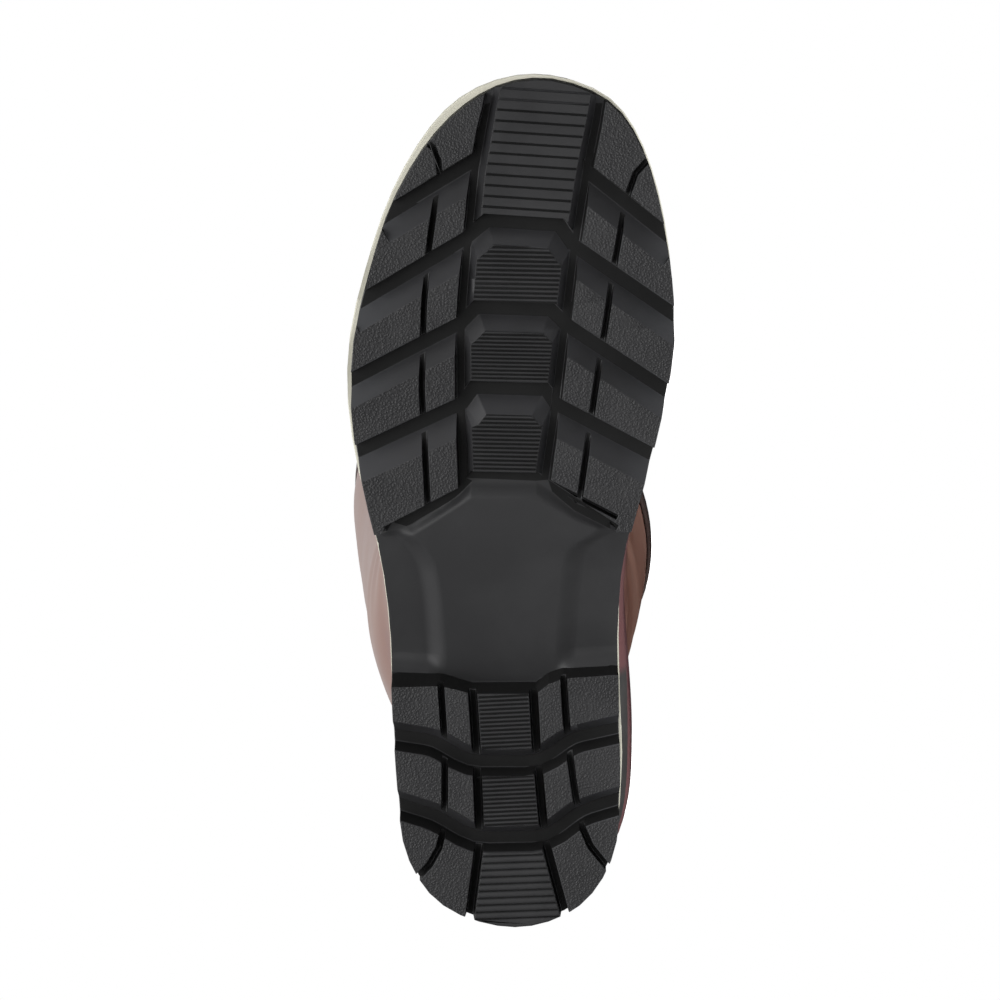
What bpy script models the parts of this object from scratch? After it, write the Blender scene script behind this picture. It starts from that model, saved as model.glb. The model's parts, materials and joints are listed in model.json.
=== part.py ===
"""Rubber boot for the right foot, lying on its medial side.

The boot is worked out standing on its tread, in millimetres: X runs from heel to toe, Y towards the
medial side and Z up. An empty then lays it on the floor, and every piece hangs from that empty.
"""

import math
from collections import namedtuple

import bmesh
import bpy
import numpy as np
from mathutils import Matrix, Vector
from mathutils.bvhtree import BVHTree

# Driving dimensions, in millimetres
MM = 0.001
SOLE_LENGTH = 305.0
SHAFT_HEIGHT = 388.0
SEAT_GAP = 0.3
UPPER_WALL = 2.4
MIDSOLE_THICKNESS = 3.0
INSOLE_THICKNESS = 3.0
INSOLE_GAP = 0.5
FOXING_THICKNESS = 1.8
FOXING_LIP = 0.7
COLLAR_THICKNESS = 1.8
COLLAR_LIP = 0.9
COLLAR_DROP_OUTSIDE = 20.0
COLLAR_DROP_INSIDE = 11.0

# Tread
LUG_FLARE = 0.15
BASE_LEVEL = 5.5
TOP_LEVEL = 30.0
RIB_DEPTH = 0.9
CUT_CLEARANCE = 3.0
EDGE_OVERRUN = 9.0
BEND_REACH = 4.0
SPRING_START = 218.0
SPRING_HEIGHT = 15.0

# Fineness of the facets
TREAD_COLUMNS = 76
UPPER_COLUMNS = 44
FLAT_STATIONS = 15
SPRING_STATIONS = 10

# Edge of the tread, by stations from the back of the heel to the tip of the toe
OutlineRow = namedtuple("OutlineRow", "x lateral medial")
OUTLINE = (
    OutlineRow(-1.5, 5.4, 5.4),
    OutlineRow(11.5, -25.6, 33.4),
    OutlineRow(27.0, -34.0, 41.2),
    OutlineRow(54.0, -37.2, 43.2),
    OutlineRow(82.0, -38.8, 42.6),
    OutlineRow(110.0, -39.9, 42.6),
    OutlineRow(134.0, -42.8, 44.4),
    OutlineRow(162.0, -49.2, 51.5),
    OutlineRow(188.0, -52.8, 57.9),
    OutlineRow(213.0, -51.9, 61.8),
    OutlineRow(238.0, -46.2, 60.5),
    OutlineRow(262.5, -38.0, 56.3),
    OutlineRow(280.0, -28.8, 50.9),
    OutlineRow(294.0, -17.4, 42.3),
    OutlineRow(SOLE_LENGTH, 11.7, 11.7),
)
HEEL_BACK = OUTLINE[0].x
HEEL_AXIS = OUTLINE[0].lateral
TOE_AXIS = OUTLINE[-1].lateral

# Widest places of the tread, which scale the rows of the upper
WidthPair = namedtuple("WidthPair", "lateral medial")
HEEL_EDGE = WidthPair(-37.0, 42.9)
BALL_EDGE = WidthPair(-52.6, 61.4)
BALL_BLEND_START = 0.22
BALL_BLEND_END = 0.62

# Height of the outsole's upper face: heel seat, waist, ball and toe
HeightRow = namedtuple("HeightRow", "x height")
SOLE_TOP = (
    HeightRow(0.0, 24.0),
    HeightRow(50.0, 23.8),
    HeightRow(90.0, 21.6),
    HeightRow(122.0, 17.6),
    HeightRow(168.0, 12.4),
    HeightRow(208.0, 10.4),
    HeightRow(254.0, 13.4),
    HeightRow(SOLE_LENGTH, 24.0),
)

# How far the midsole stands out past the tread
PROUD = (
    OutlineRow(0.0, -0.2, -0.2),
    OutlineRow(60.0, 0.1, 1.2),
    OutlineRow(120.0, 0.4, 0.0),
    OutlineRow(208.0, 1.6, -0.2),
    OutlineRow(262.0, 1.1, 0.4),
    OutlineRow(290.0, 0.6, -0.2),
    OutlineRow(SOLE_LENGTH, 0.1, 0.1),
)

# Rows of the upper from the feather edge to the collar, outside the wall. A row runs from its back point
# to its front point, roundness turns the sole's outline into an ellipse, sag follows the sole's top and
# twist sets the medial side back and the lateral side forward.
UpperRow = namedtuple(
    "UpperRow",
    "back_x back_z front_x front_z front_y "
    "heel_lateral heel_medial ball_lateral ball_medial roundness sag twist",
)
FEATHER_Z = SOLE_TOP[0].height + MIDSOLE_THICKNESS + 2 * SEAT_GAP
UPPER = (
    UpperRow(4.0, FEATHER_Z, 302.0, FEATHER_Z, 12.0, -34.0, 41.2, -50.2, 58.4, 0.0, 1.0, 0.0),
    UpperRow(0.0, 38.0, 302.4, 39.0, 12.0, -36.4, 45.6, -50.6, 58.6, 0.0, 0.9, 0.0),
    UpperRow(-3.0, 52.0, 299.6, 51.0, 12.0, -37.4, 48.6, -50.0, 58.2, 0.03, 0.75, 0.0),
    UpperRow(-4.5, 66.0, 288.0, 62.0, 11.5, -38.0, 49.6, -48.5, 56.0, 0.12, 0.5, 0.0),
    UpperRow(-4.0, 80.0, 267.0, 71.0, 11.0, -37.8, 49.0, -46.0, 52.5, 0.28, 0.3, 0.0),
    UpperRow(-1.5, 93.0, 241.0, 79.0, 10.0, -37.6, 48.0, -45.0, 50.0, 0.45, 0.15, 0.0),
    UpperRow(2.0, 106.0, 209.0, 91.0, 9.0, -38.0, 47.6, -44.0, 49.5, 0.65, 0.05, 0.02),
    UpperRow(5.5, 120.0, 178.0, 110.0, 8.0, -40.6, 47.6, -45.0, 49.5, 0.85, 0.0, 0.04),
    UpperRow(8.0, 138.0, 155.0, 137.0, 7.0, -48.2, 48.4, -49.2, 49.0, 1.0, 0.0, 0.04),
    UpperRow(9.5, 168.0, 145.0, 174.0, 6.0, -51.6, 50.4, -51.6, 50.4, 1.0, 0.0, 0.05),
    UpperRow(10.0, 222.0, 138.0, 227.0, 5.0, -54.6, 54.4, -54.6, 54.4, 1.0, 0.0, 0.1),
    UpperRow(10.0, 282.0, 133.5, 284.0, 5.0, -58.4, 58.0, -58.4, 58.0, 1.0, 0.0, 0.16),
    UpperRow(10.5, 336.0, 132.5, 337.0, 5.0, -61.4, 61.0, -61.4, 61.0, 1.0, 0.0, 0.22),
    UpperRow(11.0, SHAFT_HEIGHT, 134.5, SHAFT_HEIGHT, 5.0, -58.4, 62.9, -58.4, 62.9, 1.0, 0.0, 0.24),
)
COLLAR_ROW = len(UPPER) - 1
COLLAR_ROW_RISE = SHAFT_HEIGHT - UPPER[-2].back_z
FOOT_ROWS = np.arange(0.0, 9.0, 0.5)
SHAFT_ROWS = np.arange(9.0, COLLAR_ROW + 1.0, 1.0)

# How many rows of the upper the foxing covers: heel, waist, toe
FoxingRow = namedtuple("FoxingRow", "along rows")
FOXING_TOP = (
    FoxingRow(0.0, 1.4),
    FoxingRow(0.25, 1.3),
    FoxingRow(0.45, 0.7),
    FoxingRow(0.62, 0.8),
    FoxingRow(0.85, 1.5),
    FoxingRow(1.0, 1.8),
)
FOXING_STEPS = (0.0, 0.34, 0.67, 1.0)

# Sections of the grooves: widths of the front wall, the floor and the rear wall, and the depth
Groove = namedtuple("Groove", "front_wall floor rear_wall depth")
FOREFOOT_GROOVE = Groove(0.5, 5.0, 6.2, BASE_LEVEL)
REAR_GROOVE = Groove(0.5, 5.0, 7.6, BASE_LEVEL)
WAIST_GROOVE = Groove(0.6, 1.6, 0.4, BASE_LEVEL)
HEEL_GROOVE = Groove(4.0, 4.4, 2.0, 7.0)
GUTTER = Groove(0.5, 3.0, 2.6, BASE_LEVEL)
HEEL_GUTTER = Groove(0.5, 2.4, 0.5, 6.4)
SLOT = Groove(0.25, 1.7, 0.25, 4.6)
RIDGE_SLOT = Groove(0.2, 1.2, 0.4, 4.2)
HEEL_SLOT = Groove(0.3, 1.9, 0.3, 5.0)

# Chevron grooves, each along the rear edge of the lugs before it: (x, y) from the lateral edge, over the
# two bends and the two ends of the crown, to the medial edge
Chevron = namedtuple("Chevron", "groove path")
CHEVRONS = (
    Chevron(
        FOREFOOT_GROOVE,
        ((231.4, -47.9), (251.6, -13.8), (258.6, -5.7), (256.8, 22.7), (249.1, 28.0), (226.4, 61.0)),
    ),
    Chevron(
        FOREFOOT_GROOVE,
        ((202.7, -51.9), (221.8, -15.6), (227.9, -9.6), (226.8, 19.5), (221.1, 25.2), (197.6, 60.5)),
    ),
    Chevron(
        REAR_GROOVE,
        ((176.2, -51.0), (192.9, -15.3), (199.1, -10.7), (198.3, 17.4), (192.6, 21.7), (175.5, 53.8)),
    ),
)
HEEL_CHEVRONS = (
    ((75.0, -37.8), (72.4, -21.6), (65.0, -9.4), (65.0, 12.4), (73.2, 23.6), (77.6, 42.5)),
    ((49.4, -36.1), (44.6, -20.9), (36.6, -7.6), (37.0, 14.8), (46.1, 26.4), (51.3, 42.9)),
)
WAIST_CHEVRON = ((146.4, -41.5), (160.6, -14.6), (166.4, -10.3), (166.1, 13.6), (163.3, 17.5), (146.9, 42.4))
RIDGE_LINE = ((163.6, 17.6), (150.6, 42.2))

# The foremost chevron stops at the gutters beside the toe block: (x, y) of its edge and its inner end
HalfChevron = namedtuple("HalfChevron", "edge inner side")
TOE_CHEVRONS = (
    HalfChevron((263.1, -37.2), (280.4, -7.9), 1.0),
    HalfChevron((255.1, 57.7), (277.5, 29.2), -1.0),
)

# Gutters beside the centre blocks, along the inner edges of the side lugs, and the ways along the waist's
# groove that their rear ends slant
LATERAL_GUTTER = (
    (159.4, -14.8),
    (187.5, -15.9),
    (216.4, -16.0),
    (246.6, -13.6),
    (273.5, -10.8),
    (315.0, -3.4),
)
MEDIAL_GUTTER = (
    (315.0, 41.4),
    (274.5, 33.0),
    (244.5, 28.1),
    (215.3, 24.6),
    (187.1, 21.4),
    (162.0, 17.9),
)
LATERAL_SLANT = (5.8, 4.3)
MEDIAL_SLANT = (2.8, -3.9)
HEEL_GUTTERS = (
    ((98.0, -10.6), (65.4, -8.5), (39.3, -7.5), (28.9, -7.5), (-8.0, -12.2)),
    ((98.0, 11.3), (66.1, 13.0), (39.0, 15.4), (29.3, 16.6), (-8.0, 26.4)),
)

# Narrow slots that split each row of lugs into an inner and an outer one
LATERAL_SLOT = (
    (289.0, -33.0),
    (281.8, -24.4),
    (277.2, -21.8),
    (272.5, -21.2),
    (262.0, -22.9),
    (245.4, -25.2),
    (226.0, -26.9),
    (196.0, -27.7),
    (153.0, -25.6),
)
MEDIAL_SLOT = (
    (282.0, 57.0),
    (272.4, 47.8),
    (266.2, 45.5),
    (258.0, 43.3),
    (243.1, 40.8),
    (224.0, 38.0),
    (196.0, 33.8),
    (154.0, 28.0),
)
HEEL_SLOTS = (
    (
        (98.0, -21.8),
        (72.0, -20.2),
        (60.6, -19.8),
        (44.6, -19.9),
        (34.1, -20.6),
        (28.1, -22.0),
        (22.0, -25.4),
        (13.0, -33.5),
    ),
    (
        (98.0, 22.2),
        (73.6, 24.0),
        (61.7, 25.2),
        (46.8, 27.3),
        (36.0, 29.6),
        (28.9, 32.6),
        (17.0, 42.0),
    ),
)

# Waist: lines across it from the lateral to the medial side, with the foot and the head of the slope that
# leads from the groove behind the lugs up to the plate, and the breast of the heel at the floor and at the
# tread. The groove stops short of both edges of the sole, where its share is 0.
WaistLine = namedtuple("WaistLine", "y foot head groove breast_floor breast_tread")
WAIST_LINES = (
    WaistLine(-62.0, 143.2, 142.8, 0.0, 91.0, 87.4),
    WaistLine(-42.8, 143.4, 142.8, 0.0, 90.8, 87.5),
    WaistLine(-40.6, 143.8, 142.8, 1.0, 90.7, 87.6),
    WaistLine(-31.4, 146.4, 142.9, 1.0, 90.3, 87.9),
    WaistLine(-21.5, 152.6, 149.6, 1.0, 89.8, 88.2),
    WaistLine(-14.7, 157.3, 154.2, 1.0, 87.7, 86.6),
    WaistLine(-9.9, 162.4, 157.4, 1.0, 86.2, 85.2),
    WaistLine(12.8, 162.4, 157.0, 1.0, 86.4, 85.2),
    WaistLine(17.5, 159.5, 154.2, 1.0, 89.9, 89.0),
    WaistLine(22.5, 155.0, 151.4, 1.0, 91.9, 90.9),
    WaistLine(26.8, 151.4, 148.8, 1.0, 92.2, 91.3),
    WaistLine(39.4, 144.9, 143.9, 1.0, 93.0, 92.2),
    WaistLine(41.6, 144.4, 143.8, 0.0, 93.0, 92.2),
    WaistLine(64.0, 144.2, 143.8, 0.0, 93.4, 92.6),
)
WAIST_MOUTH = 3.0
WAIST_SHARES = (0.0, 0.05, 0.11, 0.19, 0.3, 0.45, 0.63, 0.82)
SCOOP_LINES = (np.arange(-36.0, -15.0, 2.6), np.arange(16.0, 37.0, 2.6))

# Edges of the raised plate between the two scoops, and the scoops: depth beside the plate and at the sole's
# edge, with the width of the soft wall and of the scoop
PLATE_EDGE = (
    OutlineRow(86.0, -18.4, 19.0),
    OutlineRow(99.3, -18.8, 19.5),
    OutlineRow(118.5, -20.1, 20.9),
    OutlineRow(130.3, -21.9, 21.8),
    OutlineRow(137.2, -25.0, 23.2),
    OutlineRow(140.4, -28.0, 27.3),
    OutlineRow(143.5, -32.0, 34.6),
)
SCOOP_DEPTH = 2.4
SCOOP_EDGE_DEPTH = 1.3
SCOOP_WALL = 5.0
SCOOP_WIDTH = 22.0

# How the floor of a scoop rises to the breast of the heel
FilletRow = namedtuple("FilletRow", "distance rise")
FILLET = (
    FilletRow(7.0, 0.0),
    FilletRow(4.9, 0.5),
    FilletRow(3.1, 1.4),
    FilletRow(1.5, 2.7),
    FilletRow(0.0, 4.4),
)
WAIST_RISE = (
    HeightRow(85.0, 15.0),
    HeightRow(103.0, 11.4),
    HeightRow(121.5, 7.4),
    HeightRow(140.0, 4.2),
    HeightRow(163.5, 2.8),
)

# Finishes, as linear colours with a roughness
Finish = namedtuple("Finish", "colour roughness")
BLACK_RUBBER = Finish((0.030, 0.030, 0.032), 0.48)
RAND_RUBBER = Finish((0.022, 0.022, 0.024), 0.40)
CREAM_RUBBER = Finish((0.62, 0.55, 0.42), 0.55)
BROWN_RUBBER = Finish((0.105, 0.042, 0.036), 0.34)
DARK_BROWN_RUBBER = Finish((0.035, 0.020, 0.017), 0.42)
INSOLE_FELT = Finish((0.14, 0.12, 0.10), 0.92)


def smooth_through(knots, values, at):
    """Smooth curve through values at rising knots, with slopes taken from their neighbours."""
    knots = np.asarray(knots, float)
    values = np.asarray(values, float)
    slopes = np.gradient(values, knots, axis=0)
    at = np.asarray(at, float)
    i = np.clip(np.searchsorted(knots, at, side="right") - 1, 0, len(knots) - 2)
    span = knots[i + 1] - knots[i]
    t = (at - knots[i]) / span
    if values.ndim > 1:
        span = span[..., None]
        t = t[..., None]
    rise = values[i + 1] - values[i]
    start = slopes[i] * span
    end = slopes[i + 1] * span
    return values[i] + t * (start + t * (3 * rise - 2 * start - end + t * (start + end - 2 * rise)))


def smooth_step(start, end, at):
    """Share from 0 at start to 1 at end, with level ends."""
    t = np.clip((at - start) / (end - start), 0.0, 1.0)
    return t * t * (3 - 2 * t)


def column(table, name):
    """One named column of a table of rows."""
    return np.array([getattr(row, name) for row in table])


# Lengths along the sole where its faces may bend
STATIONS = np.concatenate(
    [
        np.linspace(0.0, SPRING_START, FLAT_STATIONS),
        np.linspace(SPRING_START, SOLE_LENGTH, SPRING_STATIONS + 1)[1:],
    ]
)


def toe_spring(x):
    """Lift of the tread at the toe, straight between stations."""
    reach = np.clip((STATIONS - SPRING_START) / (SOLE_LENGTH - SPRING_START), 0.0, None)
    return np.interp(x, STATIONS, SPRING_HEIGHT * reach**2)


def sole_top(x):
    """Height of the outsole's upper face, straight between stations."""
    return np.interp(x, STATIONS, smooth_through(column(SOLE_TOP, "x"), column(SOLE_TOP, "height"), STATIONS))


def midsole_foot(x):
    """Height of the midsole's lower face."""
    return sole_top(x) + SEAT_GAP


def midsole_top(x):
    """Height of the midsole's upper face."""
    return midsole_foot(x) + MIDSOLE_THICKNESS


def feather(x):
    """Height of what sits on the midsole."""
    return midsole_top(x) + SEAT_GAP


def closed_outline():
    """Angles and edge positions of the tread outline, over three turns so that it closes smoothly."""
    along = (column(OUTLINE, "x") - HEEL_BACK) / (SOLE_LENGTH - HEEL_BACK)
    angle = np.arccos(1.0 - 2.0 * along)
    knots = np.concatenate([-angle[::-1], angle[1:]])
    sides = np.concatenate([column(OUTLINE, "lateral")[::-1], column(OUTLINE, "medial")[1:]])
    turn = 2 * math.pi
    return (
        np.concatenate([knots[:-1] - turn, knots, knots[1:] + turn]),
        np.concatenate([sides[:-1], sides, sides[1:]]),
    )


EDGE_ANGLES, EDGE_SIDES = closed_outline()


def angles(count):
    """Even angles from the toe along the lateral side to the heel, and back along the medial side."""
    return np.linspace(-math.pi, math.pi, count, endpoint=False)


def along_sole(phi):
    """Share of the length at an angle, 0 at the heel and 1 at the toe."""
    return (1 - np.cos(phi)) / 2


def tread_edge(phi):
    """Y of the tread's edge at an angle, on the medial side for angles above 0."""
    return smooth_through(EDGE_ANGLES, EDGE_SIDES, phi)


def tread_outline(count):
    """Plan of the tread's edge as (x, y) points."""
    phi = angles(count)
    x = HEEL_BACK + (SOLE_LENGTH - HEEL_BACK) * along_sole(phi)
    return np.stack([x, tread_edge(phi)], axis=-1)


def left_of(directions):
    """Unit vectors to the left of plan directions."""
    unit = directions / np.linalg.norm(directions, axis=-1, keepdims=True)
    return np.stack([-unit[..., 1], unit[..., 0]], axis=-1)


def grown(loop, distance):
    """Closed outline moved outwards by a distance, one for all points or one for each."""
    outward = left_of(np.roll(loop, -1, axis=0) - np.roll(loop, 1, axis=0))
    return loop + outward * np.reshape(distance, (-1, 1))


def offset_path(path, distance, end_slide=None):
    """Open path moved to its left with mitred corners; end_slide is the way that its last point moves."""
    sides = left_of(np.diff(path, axis=0))
    before = np.vstack([sides[:1], sides])
    after = np.vstack([sides, sides[-1:]])
    mitre = (before + after) / (1 + np.sum(before * after, axis=1, keepdims=True))
    if end_slide is not None:
        mitre[-1] = np.asarray(end_slide) / np.dot(end_slide, sides[-1])
    return path + mitre * distance


def overrun(path, start=True, end=True):
    """Path with its ends run out past the sole's edge."""
    path = np.array(path, float)
    first = path[0] - path[1]
    last = path[-1] - path[-2]
    if start:
        path[0] += first / np.linalg.norm(first) * EDGE_OVERRUN
    if end:
        path[-1] += last / np.linalg.norm(last) * EDGE_OVERRUN
    return path


def rounded(path):
    """Path with each bend turned into a short curve."""
    path = np.array(path, float)
    points = [path[0]]
    for before, bend, after in zip(path, path[1:], path[2:]):
        start = bend + (before - bend) / np.linalg.norm(before - bend) * BEND_REACH
        end = bend + (after - bend) / np.linalg.norm(after - bend) * BEND_REACH
        points += [start, (start + 2 * bend + end) / 4, end]
    points.append(path[-1])
    return np.array(points)


def new_object(name, builder):
    """Object from a finished bmesh, freed here."""
    mesh = bpy.data.meshes.new(name)
    builder.to_mesh(mesh)
    builder.free()
    made = bpy.data.objects.new(name, mesh)
    bpy.context.scene.collection.objects.link(made)
    return made


def prism_of(loops, closed):
    """Bmesh skinned over loops of points, joined to itself or capped at both ends."""
    builder = bmesh.new()
    rings = [[builder.verts.new(point) for point in loop] for loop in loops]
    pairs = list(zip(rings, rings[1:]))
    if closed:
        pairs.append((rings[-1], rings[0]))
    for ring, following in pairs:
        for i in range(len(ring)):
            j = (i + 1) % len(ring)
            builder.faces.new((ring[i], ring[j], following[j], following[i]))
    if not closed:
        builder.faces.new(rings[0])
        builder.faces.new(rings[-1])
    bmesh.ops.recalc_face_normals(builder, faces=builder.faces)
    return builder


def at_level(plan, level):
    """Plan points lifted to one level."""
    return np.column_stack([plan, np.full(len(plan), level)])


def trench(name, path, groove, side=1.0, end_slide=None, centred=False):
    """Cutter along a path, with the groove's walls drawn on past the tread."""
    over = CUT_CLEARANCE / groove.depth
    width = groove.front_wall + groove.floor + groove.rear_wall
    start = -width / 2 if centred else 0.0
    corners = (
        (start - groove.front_wall * over, -CUT_CLEARANCE),
        (start + groove.front_wall, groove.depth),
        (start + groove.front_wall + groove.floor, groove.depth),
        (start + width + groove.rear_wall * over, -CUT_CLEARANCE),
    )
    path = np.asarray(path, float)
    lines = [at_level(offset_path(path, side * shift, end_slide), level) for shift, level in corners]
    return new_object(name, prism_of(np.stack(lines, axis=1), closed=False))


def rib_recess(name, lateral, medial):
    """Cutter that lowers the centre blocks between two lines, for the ribs on them."""
    plan = np.vstack([lateral, medial])
    floor = at_level(plan, RIB_DEPTH)
    return new_object(name, prism_of([at_level(plan, -CUT_CLEARANCE), floor], closed=False))


def waist_level(x):
    """Level of the waist plate above the ground."""
    return smooth_through(column(WAIST_RISE, "x"), column(WAIST_RISE, "height"), x)


def scoop_share(x, y):
    """Depth of the side scoops beside the plate, as a share of the deepest place."""
    stations = column(PLATE_EDGE, "x")
    lateral = np.interp(x, stations, column(PLATE_EDGE, "lateral"))
    medial = np.interp(x, stations, column(PLATE_EDGE, "medial"))
    outside = np.maximum(lateral - y, y - medial)
    shallower = (1 - SCOOP_EDGE_DEPTH / SCOOP_DEPTH) * smooth_step(SCOOP_WALL, SCOOP_WIDTH, outside)
    return smooth_step(0.0, SCOOP_WALL, outside) * (1 - shallower)


def waist_cutter():
    """Cutter for the arched waist with its plate, its side scoops and the breast of the heel."""
    lines_at = column(WAIST_LINES, "y")
    across = np.unique(np.concatenate([lines_at, *SCOOP_LINES]))
    foot, head, groove, breast_floor, breast_tread = (
        np.interp(across, lines_at, column(WAIST_LINES, name)) for name in WaistLine._fields[1:]
    )
    fillet_start = breast_floor + FILLET[0].distance
    rows = [(head + (fillet_start - head) * share, 0.0) for share in WAIST_SHARES]
    rows += [(breast_floor + row.distance, row.rise) for row in FILLET]
    surface = []
    for x, rise in rows:
        share = scoop_share(x, across)
        surface.append((x, waist_level(x) + (SCOOP_DEPTH - rise) * share))
    head_level = surface[0][1]
    foot_level = head_level + (BASE_LEVEL - head_level) * groove
    breast_level = surface[-1][1]
    lean = (breast_tread - breast_floor) / breast_level
    top = np.full_like(across, -CUT_CLEARANCE)
    mouth = foot + WAIST_MOUTH * groove
    lines = [
        (mouth, top),
        (mouth, foot_level),
        (foot - SEAT_GAP, foot_level),
        *surface,
        (breast_tread + lean * CUT_CLEARANCE, top),
    ]
    grid = np.array([np.stack([x, across, z], axis=-1) for x, z in lines])
    return new_object("waist_cutter", prism_of(grid.swapaxes(0, 1), closed=False))


def tread_cutters():
    """All cutters of the tread."""
    cutters = [waist_cutter()]
    for i, chevron in enumerate(CHEVRONS):
        cutters.append(trench(f"chevron_cutter_{i}", overrun(chevron.path), chevron.groove))
    for i, path in enumerate(HEEL_CHEVRONS):
        cutters.append(trench(f"heel_chevron_cutter_{i}", overrun(rounded(path)), HEEL_GROOVE))
    cutters.append(trench("waist_groove_cutter", WAIST_CHEVRON, WAIST_GROOVE))
    cutters.append(trench("ridge_cutter", RIDGE_LINE, RIDGE_SLOT))
    for i, half in enumerate(TOE_CHEVRONS):
        path = overrun((half.edge, half.inner), end=False)
        cutters.append(trench(f"toe_chevron_cutter_{i}", path, FOREFOOT_GROOVE, half.side, (-1.0, 0.0)))
    cutters.append(trench("lateral_gutter_cutter", LATERAL_GUTTER[::-1], GUTTER, -1.0, LATERAL_SLANT))
    cutters.append(trench("medial_gutter_cutter", MEDIAL_GUTTER, GUTTER, 1.0, MEDIAL_SLANT))
    for i, path in enumerate(HEEL_GUTTERS):
        cutters.append(trench(f"heel_gutter_cutter_{i}", path, HEEL_GUTTER, centred=True))
    for i, path in enumerate((LATERAL_SLOT, MEDIAL_SLOT)):
        cutters.append(trench(f"slot_cutter_{i}", path, SLOT, centred=True))
    for i, path in enumerate(HEEL_SLOTS):
        cutters.append(trench(f"heel_slot_cutter_{i}", path, HEEL_SLOT, centred=True))
    inset = GUTTER.front_wall + GUTTER.floor / 2
    lateral_line = offset_path(np.array(LATERAL_GUTTER), inset)
    medial_line = offset_path(np.array(MEDIAL_GUTTER), inset)
    cutters.append(rib_recess("rib_recess_cutter", lateral_line, medial_line))
    lateral_heel, medial_heel = (np.array(path) for path in HEEL_GUTTERS)
    cutters.append(rib_recess("heel_rib_recess_cutter", lateral_heel, medial_heel[::-1]))
    return cutters


def cut_at_stations(builder):
    """Split a flat solid across at each station, so that it can follow the sole's curve."""
    for x in STATIONS[1:-1]:
        geometry = builder.verts[:] + builder.edges[:] + builder.faces[:]
        bmesh.ops.bisect_plane(builder, geom=geometry, dist=1e-4, plane_co=(x, 0, 0), plane_no=(1, 0, 0))


def tidy(builder, flatness=0.002):
    """Drop edges within flat faces, and points that Booleans leave beside each other."""
    bmesh.ops.remove_doubles(builder, verts=builder.verts, dist=0.01)
    bmesh.ops.dissolve_limit(
        builder, angle_limit=flatness, use_dissolve_boundaries=False, verts=builder.verts, edges=builder.edges
    )


def build_outsole():
    """Outsole: a slab in the tread's outline, cut as the mould cuts it, then bent to the last."""
    outline = tread_outline(TREAD_COLUMNS)
    base = grown(outline, -LUG_FLARE)
    rings = [at_level(outline, 0.0), at_level(base, BASE_LEVEL), at_level(base, TOP_LEVEL)]
    slab = new_object("outsole_slab", prism_of(rings, closed=False))
    cutters = bpy.data.collections.new("tread_cutters")
    for cutter in tread_cutters():
        cutters.objects.link(cutter)
    cut = slab.modifiers.new("tread", "BOOLEAN")
    cut.operation = "DIFFERENCE"
    cut.operand_type = "COLLECTION"
    cut.collection = cutters
    graph = bpy.context.evaluated_depsgraph_get()
    builder = bmesh.new()
    builder.from_mesh(slab.evaluated_get(graph).to_mesh())
    for used in [slab, *cutters.objects]:
        bpy.data.objects.remove(used)
    bpy.data.collections.remove(cutters)
    tidy(builder)
    cut_at_stations(builder)
    for vert in builder.verts:
        x = vert.co.x
        vert.co.z = sole_top(x) if vert.co.z > TOP_LEVEL - SEAT_GAP else vert.co.z + toe_spring(x)
    tidy(builder)
    return new_object("outsole", builder)


def plate(name, outline, foot, top):
    """Plate of an outline between two heights that change along the sole."""
    builder = prism_of([at_level(outline, 0.0), at_level(outline, 1.0)], closed=False)
    cut_at_stations(builder)
    for vert in builder.verts:
        height = top if vert.co.z > 0.5 else foot
        vert.co.z = height(vert.co.x)
    return new_object(name, builder)


def build_midsole():
    """Midsole: a cream plate that stands a little proud of the tread."""
    outline = tread_outline(TREAD_COLUMNS)
    stations = column(PROUD, "x")
    lateral = np.interp(outline[:, 0], stations, column(PROUD, "lateral"))
    medial = np.interp(outline[:, 0], stations, column(PROUD, "medial"))
    proud = np.where(np.sin(angles(TREAD_COLUMNS)) > 0, medial, lateral)
    return plate("midsole", grown(outline, proud), midsole_foot, midsole_top)


def upper_surface(level, phi):
    """Points on the outside of the upper at rows of the table, or between them, and at angles."""
    rows = smooth_through(np.arange(len(UPPER)), np.array(UPPER), level)
    row = UpperRow(*np.moveaxis(rows, -1, 0))
    along = along_sole(phi)
    x = row.back_x + (row.front_x - row.back_x) * along
    z = row.back_z + (row.front_z - row.back_z) * along + row.sag * (sole_top(x) - sole_top(0.0))
    axis = HEEL_AXIS + (row.front_y - HEEL_AXIS) * along
    ball = smooth_step(BALL_BLEND_START, BALL_BLEND_END, along)
    lateral = row.heel_lateral + (row.ball_lateral - row.heel_lateral) * ball
    medial = row.heel_medial + (row.ball_medial - row.heel_medial) * ball
    widest = np.where(np.sin(phi) > 0, medial, lateral)
    sole_axis = HEEL_AXIS + (TOE_AXIS - HEEL_AXIS) * along
    sole_lateral = HEEL_EDGE.lateral + (BALL_EDGE.lateral - HEEL_EDGE.lateral) * ball
    sole_medial = HEEL_EDGE.medial + (BALL_EDGE.medial - HEEL_EDGE.medial) * ball
    sole_widest = np.where(np.sin(phi) > 0, sole_medial, sole_lateral)
    sole_share = (tread_edge(phi) - sole_axis) / (sole_widest - sole_axis)
    share = sole_share + (np.abs(np.sin(phi)) - sole_share) * row.roundness
    y = axis + (widest - axis) * share
    return np.stack(np.broadcast_arrays(x - row.twist * (y - axis), y, z), axis=-1)


def upper_offset(level, phi, distance):
    """Points at a distance outside the upper's outer face, or inside it below 0."""
    step = 1e-3
    up = upper_surface(level + step, phi) - upper_surface(level - step, phi)
    around = upper_surface(level, phi + step) - upper_surface(level, phi - step)
    outward = np.cross(up, around)
    outward /= np.linalg.norm(outward, axis=-1, keepdims=True)
    return upper_surface(level, phi) + outward * np.reshape(distance, np.shape(distance) + (1,))


def seated(points):
    """Points set down on the midsole."""
    points = points.copy()
    points[..., 2] = feather(points[..., 0])
    return points


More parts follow.
